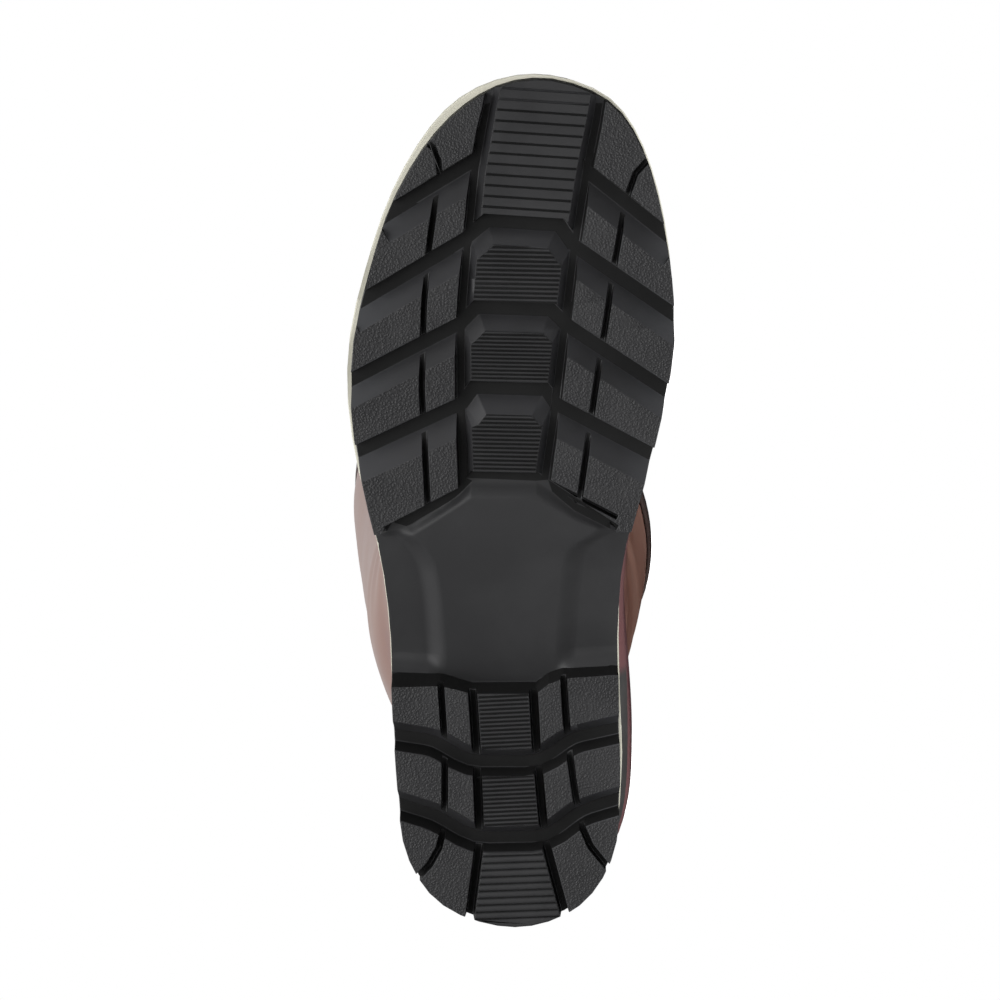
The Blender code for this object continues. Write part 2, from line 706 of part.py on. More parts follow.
def build_upper():
    """Upper: vamp, counter and shaft as one hollow wall, open at the collar and underneath."""
    phi = angles(UPPER_COLUMNS)[None, :]
    levels = np.concatenate([FOOT_ROWS, SHAFT_ROWS])[:, None]
    outside = upper_offset(levels, phi, 0.0)
    inside = upper_offset(levels, phi, -UPPER_WALL)
    for wall in (outside, inside):
        wall[0] = seated(wall[0])
        wall[-1, :, 2] = SHAFT_HEIGHT
    sections = np.concatenate([outside, inside[::-1]]).swapaxes(0, 1)
    return new_object("upper", prism_of(sections, closed=True))


def build_foxing():
    """Foxing: the rand wrapped around the foot of the upper."""
    phi = angles(UPPER_COLUMNS)
    rows = np.interp(along_sole(phi), column(FOXING_TOP, "along"), column(FOXING_TOP, "rows"))
    inside = [upper_offset(rows * step, phi, SEAT_GAP) for step in FOXING_STEPS]
    outside = [upper_offset(rows * step, phi, SEAT_GAP + FOXING_THICKNESS) for step in FOXING_STEPS[:-1]]
    outside.append(upper_offset(rows * FOXING_STEPS[-1], phi, SEAT_GAP + FOXING_LIP))
    inside[0] = seated(inside[0])
    outside[0] = seated(outside[0])
    sections = np.array(inside + outside[::-1]).swapaxes(0, 1)
    return new_object("foxing", prism_of(sections, closed=True))


def build_collar_band():
    """Collar band: a binding folded over the edge of the shaft."""
    phi = angles(UPPER_COLUMNS)
    outer = SEAT_GAP + COLLAR_THICKNESS
    lip = SEAT_GAP + COLLAR_LIP
    outside_foot = COLLAR_ROW - COLLAR_DROP_OUTSIDE / COLLAR_ROW_RISE
    inside_foot = COLLAR_ROW - COLLAR_DROP_INSIDE / COLLAR_ROW_RISE
    bevel = COLLAR_THICKNESS / COLLAR_ROW_RISE
    rim = SHAFT_HEIGHT + SEAT_GAP
    crown = rim + COLLAR_THICKNESS

    def line(level, distance, height=None):
        """Line around the shaft, at its own height or at a given one."""
        points = upper_offset(np.full_like(phi, level), phi, distance)
        if height is not None:
            points[:, 2] = height
        return points

    sections = (
        line(outside_foot, SEAT_GAP),
        line(outside_foot, lip),
        line(outside_foot + bevel, outer),
        line(COLLAR_ROW, outer, SHAFT_HEIGHT),
        line(COLLAR_ROW, lip - SEAT_GAP, crown),
        line(COLLAR_ROW, -UPPER_WALL - lip + SEAT_GAP, crown),
        line(COLLAR_ROW, -UPPER_WALL - outer, SHAFT_HEIGHT),
        line(inside_foot, -UPPER_WALL - lip),
        line(inside_foot, -UPPER_WALL - SEAT_GAP),
        line(COLLAR_ROW, -UPPER_WALL - SEAT_GAP, rim),
        line(COLLAR_ROW, SEAT_GAP, rim),
    )
    return new_object("collar_band", prism_of(np.stack(sections, axis=1), closed=True))


def build_insole():
    """Insole: a plate on the midsole, inside the foot of the upper."""
    phi = angles(UPPER_COLUMNS)
    outline = upper_offset(np.zeros_like(phi), phi, -UPPER_WALL - INSOLE_GAP)[:, :2]

    def top(x):
        """Height of the insole's upper face."""
        return feather(x) + INSOLE_THICKNESS

    return plate("insole", outline, feather, top)


def dress(piece, finish):
    """Scale a piece to metres, shade it, and give it a material of its own."""
    piece.data.transform(Matrix.Scale(MM, 4))
    piece.data.shade_smooth()
    piece.data.set_sharp_from_angle(angle=math.radians(28))
    material = bpy.data.materials.new(piece.name)
    material.use_nodes = True
    shader = material.node_tree.nodes["Principled BSDF"]
    shader.inputs["Base Color"].default_value = (*finish.colour, 1.0)
    shader.inputs["Roughness"].default_value = finish.roughness
    shader.inputs["Metallic"].default_value = 0.0
    piece.data.materials.append(material)
    return piece


def centre_of_volume(pieces):
    """Centre of the solid rubber, from the volumes under its triangles."""
    total = 0.0
    moment = np.zeros(3)
    for piece in pieces:
        mesh = piece.data
        mesh.calc_loop_triangles()
        points = np.array([vert.co for vert in mesh.vertices])
        a, b, c = (points[[tri.vertices[k] for tri in mesh.loop_triangles]] for k in range(3))
        volumes = np.einsum("ij,ij->i", a, np.cross(b, c)) / 6
        total += volumes.sum()
        moment += ((a + b + c) / 4 * volumes[:, None]).sum(axis=0)
    return Vector(moment / total)


def resting_side(pieces):
    """Direction in the boot that points down when it lies on its medial side."""
    hull = bmesh.new()
    for piece in pieces:
        for vert in piece.data.vertices:
            hull.verts.new(vert.co)
    made = bmesh.ops.convex_hull(hull, input=hull.verts)
    bmesh.ops.delete(hull, geom=made["geom_interior"], context="VERTS")
    bmesh.ops.recalc_face_normals(hull, faces=hull.faces)
    tree = BVHTree.FromBMesh(hull)
    centre = centre_of_volume(pieces)
    down = Vector((0.0, 1.0, 0.0))
    seen = None
    while True:
        _, normal, index, _ = tree.ray_cast(centre, down)
        if index == seen:
            break
        seen = index
        down = normal
    hull.free()
    return down


def lay_down(pieces):
    """Hang the pieces from an empty that lays them on the floor, toe along X and sole towards -Y."""
    turn = resting_side(pieces).rotation_difference(Vector((0.0, 0.0, -1.0))).to_matrix()
    toe = turn @ Vector((1.0, 0.0, 0.0))
    turn = Matrix.Rotation(-math.atan2(toe.y, toe.x), 3, "Z") @ turn
    points = np.array([turn @ vert.co for piece in pieces for vert in piece.data.vertices])
    low = points.min(axis=0)
    high = points.max(axis=0)
    origin = Vector(((low[0] + high[0]) / 2, (low[1] + high[1]) / 2, low[2]))
    floor = bpy.data.objects.new("lay_on_side", None)
    bpy.context.scene.collection.objects.link(floor)
    floor.matrix_world = Matrix.Translation(-origin) @ turn.to_4x4()
    for piece in pieces:
        piece.parent = floor


def main():
    """Build every piece and lay the boot down."""
    for old in list(bpy.data.objects):
        bpy.data.objects.remove(old)
    pieces = (
        dress(build_outsole(), BLACK_RUBBER),
        dress(build_midsole(), CREAM_RUBBER),
        dress(build_foxing(), RAND_RUBBER),
        dress(build_upper(), BROWN_RUBBER),
        dress(build_collar_band(), DARK_BROWN_RUBBER),
        dress(build_insole(), INSOLE_FELT),
    )
    lay_down(pieces)


main()
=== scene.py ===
"""Looks of a rubber boot for the right foot, lying on its medial side.

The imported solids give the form. Each piece here is a finished copy of one of them, or tread too fine for
them, and it stays where its solid is. Sizes are in millimetres in the boot's own standing frame, with X
from heel to toe, Y to the medial side and Z up from the tread, unless a name says otherwise.
"""

import contextlib
import json
import logging
import math
from dataclasses import dataclass
from enum import Enum, IntEnum
from typing import Iterator

import bpy
import numpy as np
from mathutils import Matrix, Vector

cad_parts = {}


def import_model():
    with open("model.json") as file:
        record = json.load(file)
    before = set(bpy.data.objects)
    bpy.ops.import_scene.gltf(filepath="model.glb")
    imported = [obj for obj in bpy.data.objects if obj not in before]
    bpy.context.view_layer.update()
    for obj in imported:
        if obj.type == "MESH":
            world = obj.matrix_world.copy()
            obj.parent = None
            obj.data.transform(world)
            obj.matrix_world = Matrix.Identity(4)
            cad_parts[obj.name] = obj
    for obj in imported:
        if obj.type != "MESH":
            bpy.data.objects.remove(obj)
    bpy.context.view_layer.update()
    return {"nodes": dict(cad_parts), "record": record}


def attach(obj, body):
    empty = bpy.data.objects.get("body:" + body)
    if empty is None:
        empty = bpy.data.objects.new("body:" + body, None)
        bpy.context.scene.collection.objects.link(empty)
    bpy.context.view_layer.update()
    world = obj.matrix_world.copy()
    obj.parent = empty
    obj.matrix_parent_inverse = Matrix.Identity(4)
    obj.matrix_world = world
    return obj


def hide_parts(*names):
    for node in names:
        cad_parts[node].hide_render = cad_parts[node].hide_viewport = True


MM = 0.001
BODY = "root"
LOG = logging.getLogger("rubber_boot")

Piece = bpy.types.Object
Material = bpy.types.Material
Socket = bpy.types.NodeSocket
Colour = tuple[float, float, float]
Knots = tuple[float, ...]
Span = tuple[float, float]

WHITE = (1.0, 1.0, 1.0, 1.0)
SHARE = (0.0, 1.0)

# Sizes of the sole that the tread's fine work hangs from
SOLE_LENGTH = 305.0
SPRING_START = 218.0
SPRING_HEIGHT = 15.0
HEEL_BACK = -1.5
HEEL_AXIS = 5.4
LUG_FLARE = 0.15
LUG_HEIGHT = 5.5
RIB_HEIGHT = 0.9

# Settings for the work on the meshes
MERGE_DISTANCE = 0.01
BEVEL_ROOM = 2.2
QUAD_ANGLE_DEG = 60.0
BEND_STEPS = 15


# Measuring


def vectors_of(items: bpy.types.bpy_prop_collection, name: str) -> np.ndarray:
    """Vector property of a mesh's items, with one row for each.

    Args:
        items: Vertices, normals or faces of a mesh.
        name: Name of the property.

    Returns:
        The vectors.
    """
    flat = np.zeros(len(items) * 3, np.float32)
    items.foreach_get(name, flat)
    return flat.reshape(-1, 3).astype(float)


def points_of(piece: Piece) -> np.ndarray:
    """Vertices of a piece in the row frame, in metres."""
    return vectors_of(piece.data.vertices, "co")


def put_points(piece: Piece, points: np.ndarray) -> None:
    """Move the vertices of a piece to points in the row frame, in metres."""
    piece.data.vertices.foreach_set("co", points.astype(np.float32).ravel())
    piece.data.update()


def corners_of(piece: Piece, chosen: np.ndarray) -> np.ndarray:
    """Vertices of some faces of a piece.

    Args:
        piece: Mesh object in object mode.
        chosen: Truth value for each face.

    Returns:
        Truth value for each vertex.
    """
    corners = np.zeros(len(piece.data.vertices), bool)
    for polygon in piece.data.polygons:
        if chosen[polygon.index]:
            corners[list(polygon.vertices)] = True
    return corners


def toe_reach(x: np.ndarray) -> np.ndarray:
    """Share of the way from the start of the toe spring to its end, at lengths along the sole."""
    return np.clip((x - SPRING_START) / (SOLE_LENGTH - SPRING_START), 0.0, None)


def toe_spring(x: np.ndarray) -> np.ndarray:
    """Lift of the tread at lengths along the sole."""
    return SPRING_HEIGHT * toe_reach(x) ** 2


def toe_slope(x: np.ndarray) -> np.ndarray:
    """Slope of the tread at lengths along the sole."""
    return 2 * SPRING_HEIGHT * toe_reach(x) / (SOLE_LENGTH - SPRING_START)


@dataclass(frozen=True)
class BootFrame:
    """The boot's own standing frame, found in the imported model."""

    to_row: Matrix

    @classmethod
    def find(cls, record: dict, outsole: Piece) -> "BootFrame":
        """Find the frame from the sole's resting face and the back of the heel.

        Args:
            record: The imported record, whose mounts face straight down from the tread.
            outsole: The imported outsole.

        Returns:
            The standing frame.
        """
        down = Vector(record["mounts"][0]["axis"]).normalized()
        toe = Vector((-down.z, 0.0, down.x)).normalized()
        up = -down
        medial = up.cross(toe)
        points = points_of(outsole)
        heel = Vector(points[(points @ np.array(toe)).argmin()])
        back = HEEL_BACK + LUG_FLARE * RIB_HEIGHT / LUG_HEIGHT
        origin = heel - (toe * back + medial * HEEL_AXIS + up * RIB_HEIGHT) * MM
        turn = Matrix((toe, medial, up)).transposed().to_4x4()
        return cls(Matrix.Translation(origin) @ turn @ Matrix.Scale(MM, 4))

    def place(self, x: float, y: float, z: float) -> Vector:
        """Row-frame point of a standing point."""
        return self.to_row @ Vector((x, y, z))

    def direction(self, x: float, y: float, z: float) -> Vector:
        """Row-frame unit vector of a standing direction."""
        return (self.to_row.to_3x3() @ Vector((x, y, z))).normalized()

    def standing(self, points: np.ndarray) -> np.ndarray:
        """Standing coordinates of row-frame points."""
        back = np.array(self.to_row.inverted())
        return points @ back[:3, :3].T + back[:3, 3]

    def row(self, points: np.ndarray) -> np.ndarray:
        """Row-frame points of standing coordinates."""
        matrix = np.array(self.to_row)
        return points @ matrix[:3, :3].T + matrix[:3, 3]

    def turned(self, vectors: np.ndarray) -> np.ndarray:
        """Standing directions of row-frame unit vectors."""
        return vectors @ np.array(self.to_row.to_3x3()) / MM


@dataclass(frozen=True)
class Facets:
    """Middles and normals of a mesh's faces, in the standing frame."""

    middle: np.ndarray
    normal: np.ndarray

    @classmethod
    def of(cls, piece: Piece, frame: BootFrame) -> "Facets":
        """Read the faces of a piece.

        Args:
            piece: Mesh object at the origin, in object mode.
            frame: The boot's standing frame.

        Returns:
            The faces' middles and normals, in the order of the mesh.
        """
        faces = piece.data.polygons
        middle = frame.standing(vectors_of(faces, "center"))
        return cls(middle, frame.turned(vectors_of(faces, "normal")))


# Modelling by hand


def select_only(piece: Piece) -> None:
    """Make a piece the only selected object, and the active one.

    Args:
        piece: The piece to select.
    """
    bpy.ops.object.select_all(action="DESELECT")
    piece.select_set(True)
    bpy.context.view_layer.objects.active = piece


@contextlib.contextmanager
def editing(piece: Piece, mode: str = "FACE") -> Iterator[None]:
    """Edit mode on one piece, with everything in it selected.

    Args:
        piece: The piece to edit.
        mode: Select mode, VERT, EDGE or FACE.
    """
    select_only(piece)
    bpy.ops.object.mode_set(mode="EDIT")
    bpy.ops.mesh.select_mode(type=mode)
    bpy.ops.mesh.select_all(action="SELECT")
    yield
    bpy.ops.object.mode_set(mode="OBJECT")


@contextlib.contextmanager
def editing_chosen(piece: Piece, chosen: np.ndarray, mode: str = "FACE") -> Iterator[None]:
    """Edit mode on one piece, with some of its faces or edges selected.

    Args:
        piece: The piece to edit.
        chosen: Truth value for each face, or for each edge.
        mode: Select mode, EDGE or FACE.
    """
    mesh = piece.data
    for parts in (mesh.vertices, mesh.edges, mesh.polygons):
        parts.foreach_set("select", np.zeros(len(parts), bool))
    parts = mesh.edges if mode == "EDGE" else mesh.polygons
    parts.foreach_set("select", chosen.astype(bool))
    bpy.context.tool_settings.mesh_select_mode = (False, mode == "EDGE", mode == "FACE")
    select_only(piece)
    bpy.ops.object.mode_set(mode="EDIT")
    yield
    bpy.ops.object.mode_set(mode="OBJECT")


def copy_of(node: Piece, name: str) -> Piece:
    """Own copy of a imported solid, with its loose triangles merged.

    Args:
        node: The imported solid.
        name: Name of the new piece.

    Returns:
        The copy, linked to the scene.
    """
    piece = bpy.data.objects.new(name, node.data.copy())
    piece.data.name = name
    piece.data.materials.clear()
    bpy.context.scene.collection.objects.link(piece)
    select_only(piece)
    if piece.data.has_custom_normals:
        bpy.ops.mesh.customdata_custom_splitnormals_clear()
    with editing(piece):
        bpy.ops.mesh.remove_doubles(threshold=MERGE_DISTANCE * MM)
    return piece


def make_quads(piece: Piece) -> None:
    """Join the triangles of a piece to quads.

    Args:
        piece: The piece to change.
    """
    limit = math.radians(QUAD_ANGLE_DEG)
    with editing(piece):
        bpy.ops.mesh.tris_convert_to_quads(face_threshold=limit, shape_threshold=limit)


def bevel_sharp_edges(piece: Piece, sharp_deg: float, width: float, segments: int) -> None:
    """Round the sharp edges of a piece, wherever the edges around them leave room.

    Args:
        piece: The piece to round.
        sharp_deg: Angle between faces from which an edge counts as sharp.
        width: Width of the bevel.
        segments: Number of its faces.
    """
    with editing(piece, "EDGE"):
        bpy.ops.mesh.select_all(action="DESELECT")
        bpy.ops.mesh.edges_select_sharp(sharpness=math.radians(sharp_deg))
    edges = piece.data.edges
    sharp = np.zeros(len(edges), bool)
    edges.foreach_get("select", sharp)
    ends = np.zeros(len(edges) * 2, np.int32)
    edges.foreach_get("vertices", ends)
    ends = ends.reshape(-1, 2)
    points = points_of(piece)
    length = np.linalg.norm(points[ends[:, 0]] - points[ends[:, 1]], axis=1) / MM
    shortest = np.full(len(points), np.inf)
    np.minimum.at(shortest, ends.ravel(), np.repeat(length, 2))
    room = shortest[ends].min(axis=1) > BEVEL_ROOM * width
    with editing_chosen(piece, sharp & room, "EDGE"):
        bpy.ops.mesh.bevel(offset=width * MM, segments=segments, affect="EDGES", clamp_overlap=False)


def add_modifier(piece: Piece, kind: str, **settings: object) -> None:
    """Add a modifier to a piece and apply it.

    Args:
        piece: The piece to change.
        kind: Blender's name of the modifier's type.
        settings: Properties of the modifier.
    """
    select_only(piece)
    bpy.ops.object.modifier_add(type=kind)
    modifier = piece.modifiers[-1]
    for name, value in settings.items():
        setattr(modifier, name, value)
    bpy.ops.object.modifier_apply(modifier=modifier.name)


def subdivide(piece: Piece, levels: int) -> None:
    """Smooth a piece by subdivision."""
    add_modifier(piece, "SUBSURF", levels=levels, render_levels=levels)


def shade(piece: Piece, angle_deg: float) -> None:
    """Shade a piece smooth up to an angle between its faces."""
    select_only(piece)
    bpy.ops.object.shade_smooth_by_angle(angle=math.radians(angle_deg))


def shade_flat(piece: Piece, angle_deg: float) -> None:
    """Shade a piece smooth up to an angle, with its large faces flat."""
    shade(piece, angle_deg)
    add_modifier(piece, "WEIGHTED_NORMAL", keep_sharp=True)


def dress(piece: Piece, *materials: Material) -> None:
    """Give a piece its materials."""
    for material in materials:
        piece.data.materials.append(material)


def seat(piece: Piece, slot: str, *nodes: str) -> None:
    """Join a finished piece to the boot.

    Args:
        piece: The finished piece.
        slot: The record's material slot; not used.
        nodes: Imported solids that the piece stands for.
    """
    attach(piece, BODY)
    if nodes:
        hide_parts(*nodes)
    LOG.info("%s: %d faces", piece.name, len(piece.data.polygons))


# Shading


class Graph:
    """A node tree that is filled node by node."""

    def __init__(self, tree: bpy.types.NodeTree) -> None:
        """Take the tree to fill."""
        self.tree = tree

    def feed(self, socket: Socket, value: object) -> None:
        """Link a socket to another, or set it to a constant.

        Args:
            socket: The socket to feed.
            value: Socket or constant that it takes.
        """
        if isinstance(value, Socket):
            self.tree.links.new(value, socket)
        else:
            socket.default_value = value

    def add(self, kind: str, inputs: dict | None = None, **settings: object) -> bpy.types.Node:
        """Add one node.

        Args:
            kind: Blender's name of the node's type.
            inputs: Sockets or constants for its inputs, by name or number.
            settings: Properties of the node.

        Returns:
            The new node.
        """
        node = self.tree.nodes.new(kind)
        for name, value in settings.items():
            setattr(node, name, value)
        for key, value in (inputs or {}).items():
            self.feed(node.inputs[key], value)
        return node

    def math(self, operation: str, first: object, second: object = 0.0) -> Socket:
        """Result of a calculation on one or two values."""
        return self.add("ShaderNodeMath", {0: first, 1: second}, operation=operation).outputs[0]

    def mixed(self, share: object, first: object, second: object) -> Socket:
        """Colour between two colours."""
        inputs = {0: share, 6: self.opaque(first), 7: self.opaque(second)}
        return self.add("ShaderNodeMix", inputs, data_type="RGBA").outputs[2]

    def ranged(self, value: object, source: Span, target: Span, soft: bool = False) -> Socket:
        """Value carried from one range to another.

        Args:
            value: The value, or the socket that gives it.
            source: Range that the value comes from.
            target: Range that it goes to.
            soft: Level at both ends.

        Returns:
            The socket with the new value.
        """
        inputs = {0: value, 1: source[0], 2: source[1], 3: target[0], 4: target[1]}
        kind = "SMOOTHSTEP" if soft else "LINEAR"
        return self.add("ShaderNodeMapRange", inputs, interpolation_type=kind).outputs[0]

    def part(self, vector: Socket, axis: str) -> Socket:
        """One coordinate of a vector."""
        return self.add("ShaderNodeSeparateXYZ", {0: vector}).outputs[axis]

    def bump(self, height: Socket, depth: float, under: Socket | None = None) -> Socket:
        """Normal of a relief.

        Args:
            height: Height of the relief, as a share of its depth.
            depth: Depth that a share of 1 stands for.
            under: Normal that the relief lies on, if there is one.

        Returns:
            The socket with the normal.
        """
        node = self.add("ShaderNodeBump", {"Strength": 1.0, "Distance": depth * MM, "Height": height})
        if under is not None:
            self.feed(node.inputs["Normal"], under)
        return node.outputs["Normal"]

    def group(self, tree: bpy.types.NodeTree, inputs: dict) -> bpy.types.Node:
        """Node that stands for a shared group, with sockets or constants for its inputs by name."""
        return self.add("ShaderNodeGroup", inputs, node_tree=tree)

    @staticmethod
    def opaque(colour: object) -> object:
        """A constant colour with its alpha, or a socket as it is."""
        return colour if isinstance(colour, Socket) else (*colour, 1.0)


def new_group(name: str, inputs: dict[str, str], outputs: dict[str, str]) -> tuple[Graph, dict, dict]:
    """Start a shared group.

    Args:
        name: Name of the group.
        inputs: Socket types of its inputs, by name.
        outputs: Socket types of its outputs, by name.

    Returns:
        The group's graph, the sockets that its inputs come from, and those that its outputs go to.
    """
    tree = bpy.data.node_groups.new(name, "ShaderNodeTree")
    for socket, kind in inputs.items():
        tree.interface.new_socket(name=socket, in_out="INPUT", socket_type=kind)
    for socket, kind in outputs.items():
        tree.interface.new_socket(name=socket, in_out="OUTPUT", socket_type=kind)
    graph = Graph(tree)
    source = graph.add("NodeGroupInput")
    target = graph.add("NodeGroupOutput")
    given = {socket: source.outputs[socket] for socket in inputs}
    wanted = {socket: target.inputs[socket] for socket in outputs}
    return graph, given, wanted


class RubberGroups:
    """Shared effects of the boot's rubber: the skin of a mould and the pale film of cured rubber."""

    def __init__(self) -> None:
        """Build both groups."""
        self.skin = self.build_skin()
        self.film = self.build_film()

    @staticmethod
    def build_skin() -> bpy.types.NodeTree:
        """Fine uneven skin that a mould leaves, as a height.

        Returns:
            The group.
        """
        graph, given, wanted = new_group(
            "mould_skin",
            {"Vector": "NodeSocketVector", "Grains per metre": "NodeSocketFloat"},
            {"Height": "NodeSocketFloat"},
        )
        inputs = {"Vector": given["Vector"], "Scale": given["Grains per metre"]}
        noise = graph.add("ShaderNodeTexNoise", {**inputs, "Detail": 3.0, "Roughness": 0.55})
        graph.feed(wanted["Height"], noise.outputs["Fac"])
        return graph.tree

    @staticmethod
    def build_film() -> bpy.types.NodeTree:
        """Uneven pale film on cured rubber, as a share from 0 to 1.

        Returns:
            The group.
        """
        graph, given, wanted = new_group(
            "cure_film",
            {"Vector": "NodeSocketVector", "Patches per metre": "NodeSocketFloat"},
            {"Film": "NodeSocketFloat"},
        )
        inputs = {"Vector": given["Vector"], "Scale": given["Patches per metre"]}
        cloud = {"Detail": 4.0, "Roughness": 0.6, "Distortion": 0.4}
        noise = graph.add("ShaderNodeTexNoise", {**inputs, **cloud})
        film = graph.ranged(noise.outputs["Fac"], (0.32, 0.68), SHARE, soft=True)
        graph.feed(wanted["Film"], film)
        return graph.tree


def new_material(name: str) -> tuple[Material, Graph, bpy.types.Node, Socket]:
    """Start a material.

    Args:
        name: Name of the material.

    Returns:
        The material, its graph, its shader and the piece's own coordinates.
    """
    material = bpy.data.materials.new(name)
    material.use_nodes = True
    graph = Graph(material.node_tree)
    shader = material.node_tree.nodes["Principled BSDF"]
    place = graph.add("ShaderNodeTexCoord").outputs["Object"]
    return material, graph, shader, place


@dataclass(frozen=True)
class Rubber:
    """Plain rubber: colours and roughness of the bare rubber and of its film, gloss, and mould skin."""

    name: str
    colours: tuple[Colour, Colour]
    roughness: Span
    patches_per_metre: float = 40.0
    skin_size: float = 0.5
    skin_depth: float = 0.02
    coat: float = 0.0
    coat_roughness: float = 0.2
    sheen: float = 0.5

    def material(self, groups: RubberGroups) -> Material:
        """Build the material.

        Args:
            groups: Shared effects.

        Returns:
            The material.
        """
        material, graph, shader, place = new_material(self.name)
        inputs = {"Vector": place, "Patches per metre": self.patches_per_metre}
        film = graph.group(groups.film, inputs).outputs["Film"]
        graph.feed(shader.inputs["Base Color"], self.coloured(graph, place, film))
        graph.feed(shader.inputs["Roughness"], graph.ranged(film, SHARE, self.roughness))
        graph.feed(shader.inputs["Normal"], self.relief(graph, groups, place))
        shader.inputs["Specular IOR Level"].default_value = self.sheen
        shader.inputs["Coat Weight"].default_value = self.coat
        shader.inputs["Coat Roughness"].default_value = self.coat_roughness
        return material

    def coloured(self, graph: Graph, place: Socket, film: Socket) -> Socket:
        """Colour of the rubber under its film."""
        return graph.mixed(film, *self.colours)

    def relief(self, graph: Graph, groups: RubberGroups, place: Socket) -> Socket:
        """Normal of the mould's skin."""
        inputs = {"Vector": place, "Grains per metre": 1.0 / (self.skin_size * MM)}
        return graph.bump(graph.group(groups.skin, inputs).outputs["Height"], self.skin_depth)


@dataclass(frozen=True)
class PebbledRubber(Rubber):
    """Rubber with a pebble grain, as on the faces of the lugs."""

    pebble_size: float = 0.8
    pebble_depth: float = 0.20
    pebble_shift: float = 0.6

    def relief(self, graph: Graph, groups: RubberGroups, place: Socket) -> Socket:
        """Normal of the pebbles over the mould's skin.

        Args:
            graph: The material's graph.
            groups: Shared effects.
            place: The piece's own coordinates.

        Returns:
            The socket with the normal.
        """
        warp = graph.add("ShaderNodeTexNoise", {"Vector": place, "Scale": 0.5 / (self.pebble_size * MM)})
        reach = {0: warp.outputs["Color"], "Scale": self.pebble_shift * self.pebble_size * MM}
        shift = graph.add("ShaderNodeVectorMath", reach, operation="SCALE")
        moved = graph.add("ShaderNodeVectorMath", {0: place, 1: shift.outputs[0]}, operation="ADD")
        pebbles = graph.add(
            "ShaderNodeTexVoronoi",
            {"Vector": moved.outputs[0], "Scale": 1.0 / (self.pebble_size * MM), "Smoothness": 0.35},
            feature="SMOOTH_F1",
        )
        height = graph.ranged(pebbles.outputs["Distance"], (0.1, 0.75), (1.0, 0.0), soft=True)
        return graph.bump(height, self.pebble_depth, super().relief(graph, groups, place))


@dataclass(frozen=True)
class SlopedRubber(Rubber):
    """Rubber of the slopes before the lugs, paler towards both edges of the sole with a painted
    reflection.
    """

    # Colour of the painted reflection at both edges of the sole
    painted_reflection_colour: Colour = (0.036, 0.037, 0.040)
    middle_m: float = 0.056
    painted_reflection_m: Span = (0.032, 0.060)

    def coloured(self, graph: Graph, place: Socket, film: Socket) -> Socket:
        """Colour by the distance from the sole's middle, over the film, with a painted reflection towards
        the edges.

        Args:
            graph: The material's graph.
            place: The piece's own coordinates.
            film: Share of the film.

        Returns:
            The socket with the colour.
        """
        off = graph.math("ABSOLUTE", graph.math("SUBTRACT", graph.part(place, "Z"), self.middle_m))
        # Painted reflection: paler and bluish towards both edges of the sole
        dust_and_painted_reflection = graph.ranged(off, self.painted_reflection_m, SHARE, soft=True)
        return graph.mixed(dust_and_painted_reflection, super().coloured(graph, place, film), self.painted_reflection_colour)


@dataclass(frozen=True)
class RandRubber(Rubber):
    """Rubber of the rand, black around the toe and the heel and in the upper's colour along the waist."""

    upper_colour: Colour = (0.140, 0.060, 0.062)
    front_m: Span = (0.012, 0.014)
    heel_m: Span = (-0.062, -0.057)
    rim_m: Span = (-0.1592, -0.1586)

    def coloured(self, graph: Graph, place: Socket, film: Socket) -> Socket:
        """Colour by the place along the sole, and by the height around the heel.

        Args:
            graph: The material's graph.
            place: The piece's own coordinates.
            film: Share of the film.

        Returns:
            The socket with the colour.
        """
        along = graph.part(place, "X")
        rear = graph.ranged(along, self.front_m, (1.0, 0.0), soft=True)
        waist = graph.ranged(along, self.heel_m, SHARE, soft=True)
        rim = graph.ranged(graph.part(place, "Y"), self.rim_m, SHARE, soft=True)
        share = graph.math("MULTIPLY", rear, graph.math("MAXIMUM", waist, rim))
        return graph.mixed(share, super().coloured(graph, place, film), self.upper_colour)


@dataclass(frozen=True)
class UpperRubber(Rubber):
    """Rubber of the upper, burgundy at the foot and rust brown up the shaft."""

    shaft_colours: tuple[Colour, Colour] = ((0.175, 0.070, 0.046), (0.215, 0.105, 0.074))
    turn_m: Span = (-0.14, -0.06)
    drift_m: Span = (-0.008, 0.008)

    def coloured(self, graph: Graph, place: Socket, film: Socket) -> Socket:
        """Colour by the height up the boot, under the film.

        Args:
            graph: The material's graph.
            place: The piece's own coordinates.
            film: Share of the film.

        Returns:
            The socket with the colour.
        """
        drift = graph.ranged(film, SHARE, self.drift_m)
        height = graph.math("ADD", graph.part(place, "Y"), drift)
        up = graph.ranged(height, self.turn_m, SHARE, soft=True)
        shaft = graph.mixed(film, *self.shaft_colours)
        return graph.mixed(up, super().coloured(graph, place, film), shaft)


@dataclass(frozen=True)
class Textile:
    """Cloth with small loops and fibres: a knitted lining, or felt."""

    name: str
    colour: Colour
    shadow: Colour
    thread: float
    depth: float
    fuzz: float
    fibre_share: float = 0.6
    heights: Span = (0.2, 1.6)
    roughness: float = 0.92
    nap: float = 0.25

    def material(self) -> Material:
        """Build the material.

        Returns:
            The material.
        """
        material, graph, shader, place = new_material(self.name)
        per_metre = 1.0 / (self.thread * MM)
        loops = graph.add("ShaderNodeTexVoronoi", {"Vector": place, "Scale": per_metre})
        fine = {"Scale": 2.5 * per_metre, "Detail": 4.0, "Distortion": self.fuzz}
        fibres = graph.add("ShaderNodeTexNoise", {"Vector": place, **fine})
        tops = graph.math("SUBTRACT", 1.0, loops.outputs["Distance"])
        height = graph.math("ADD", tops, graph.math("MULTIPLY", fibres.outputs["Fac"], self.fibre_share))
        share = graph.ranged(height, self.heights, SHARE)
        graph.feed(shader.inputs["Base Color"], graph.mixed(share, self.shadow, self.colour))
        graph.feed(shader.inputs["Normal"], graph.bump(height, self.depth))
        shader.inputs["Roughness"].default_value = self.roughness
        shader.inputs["Sheen Weight"].default_value = self.nap
        return material


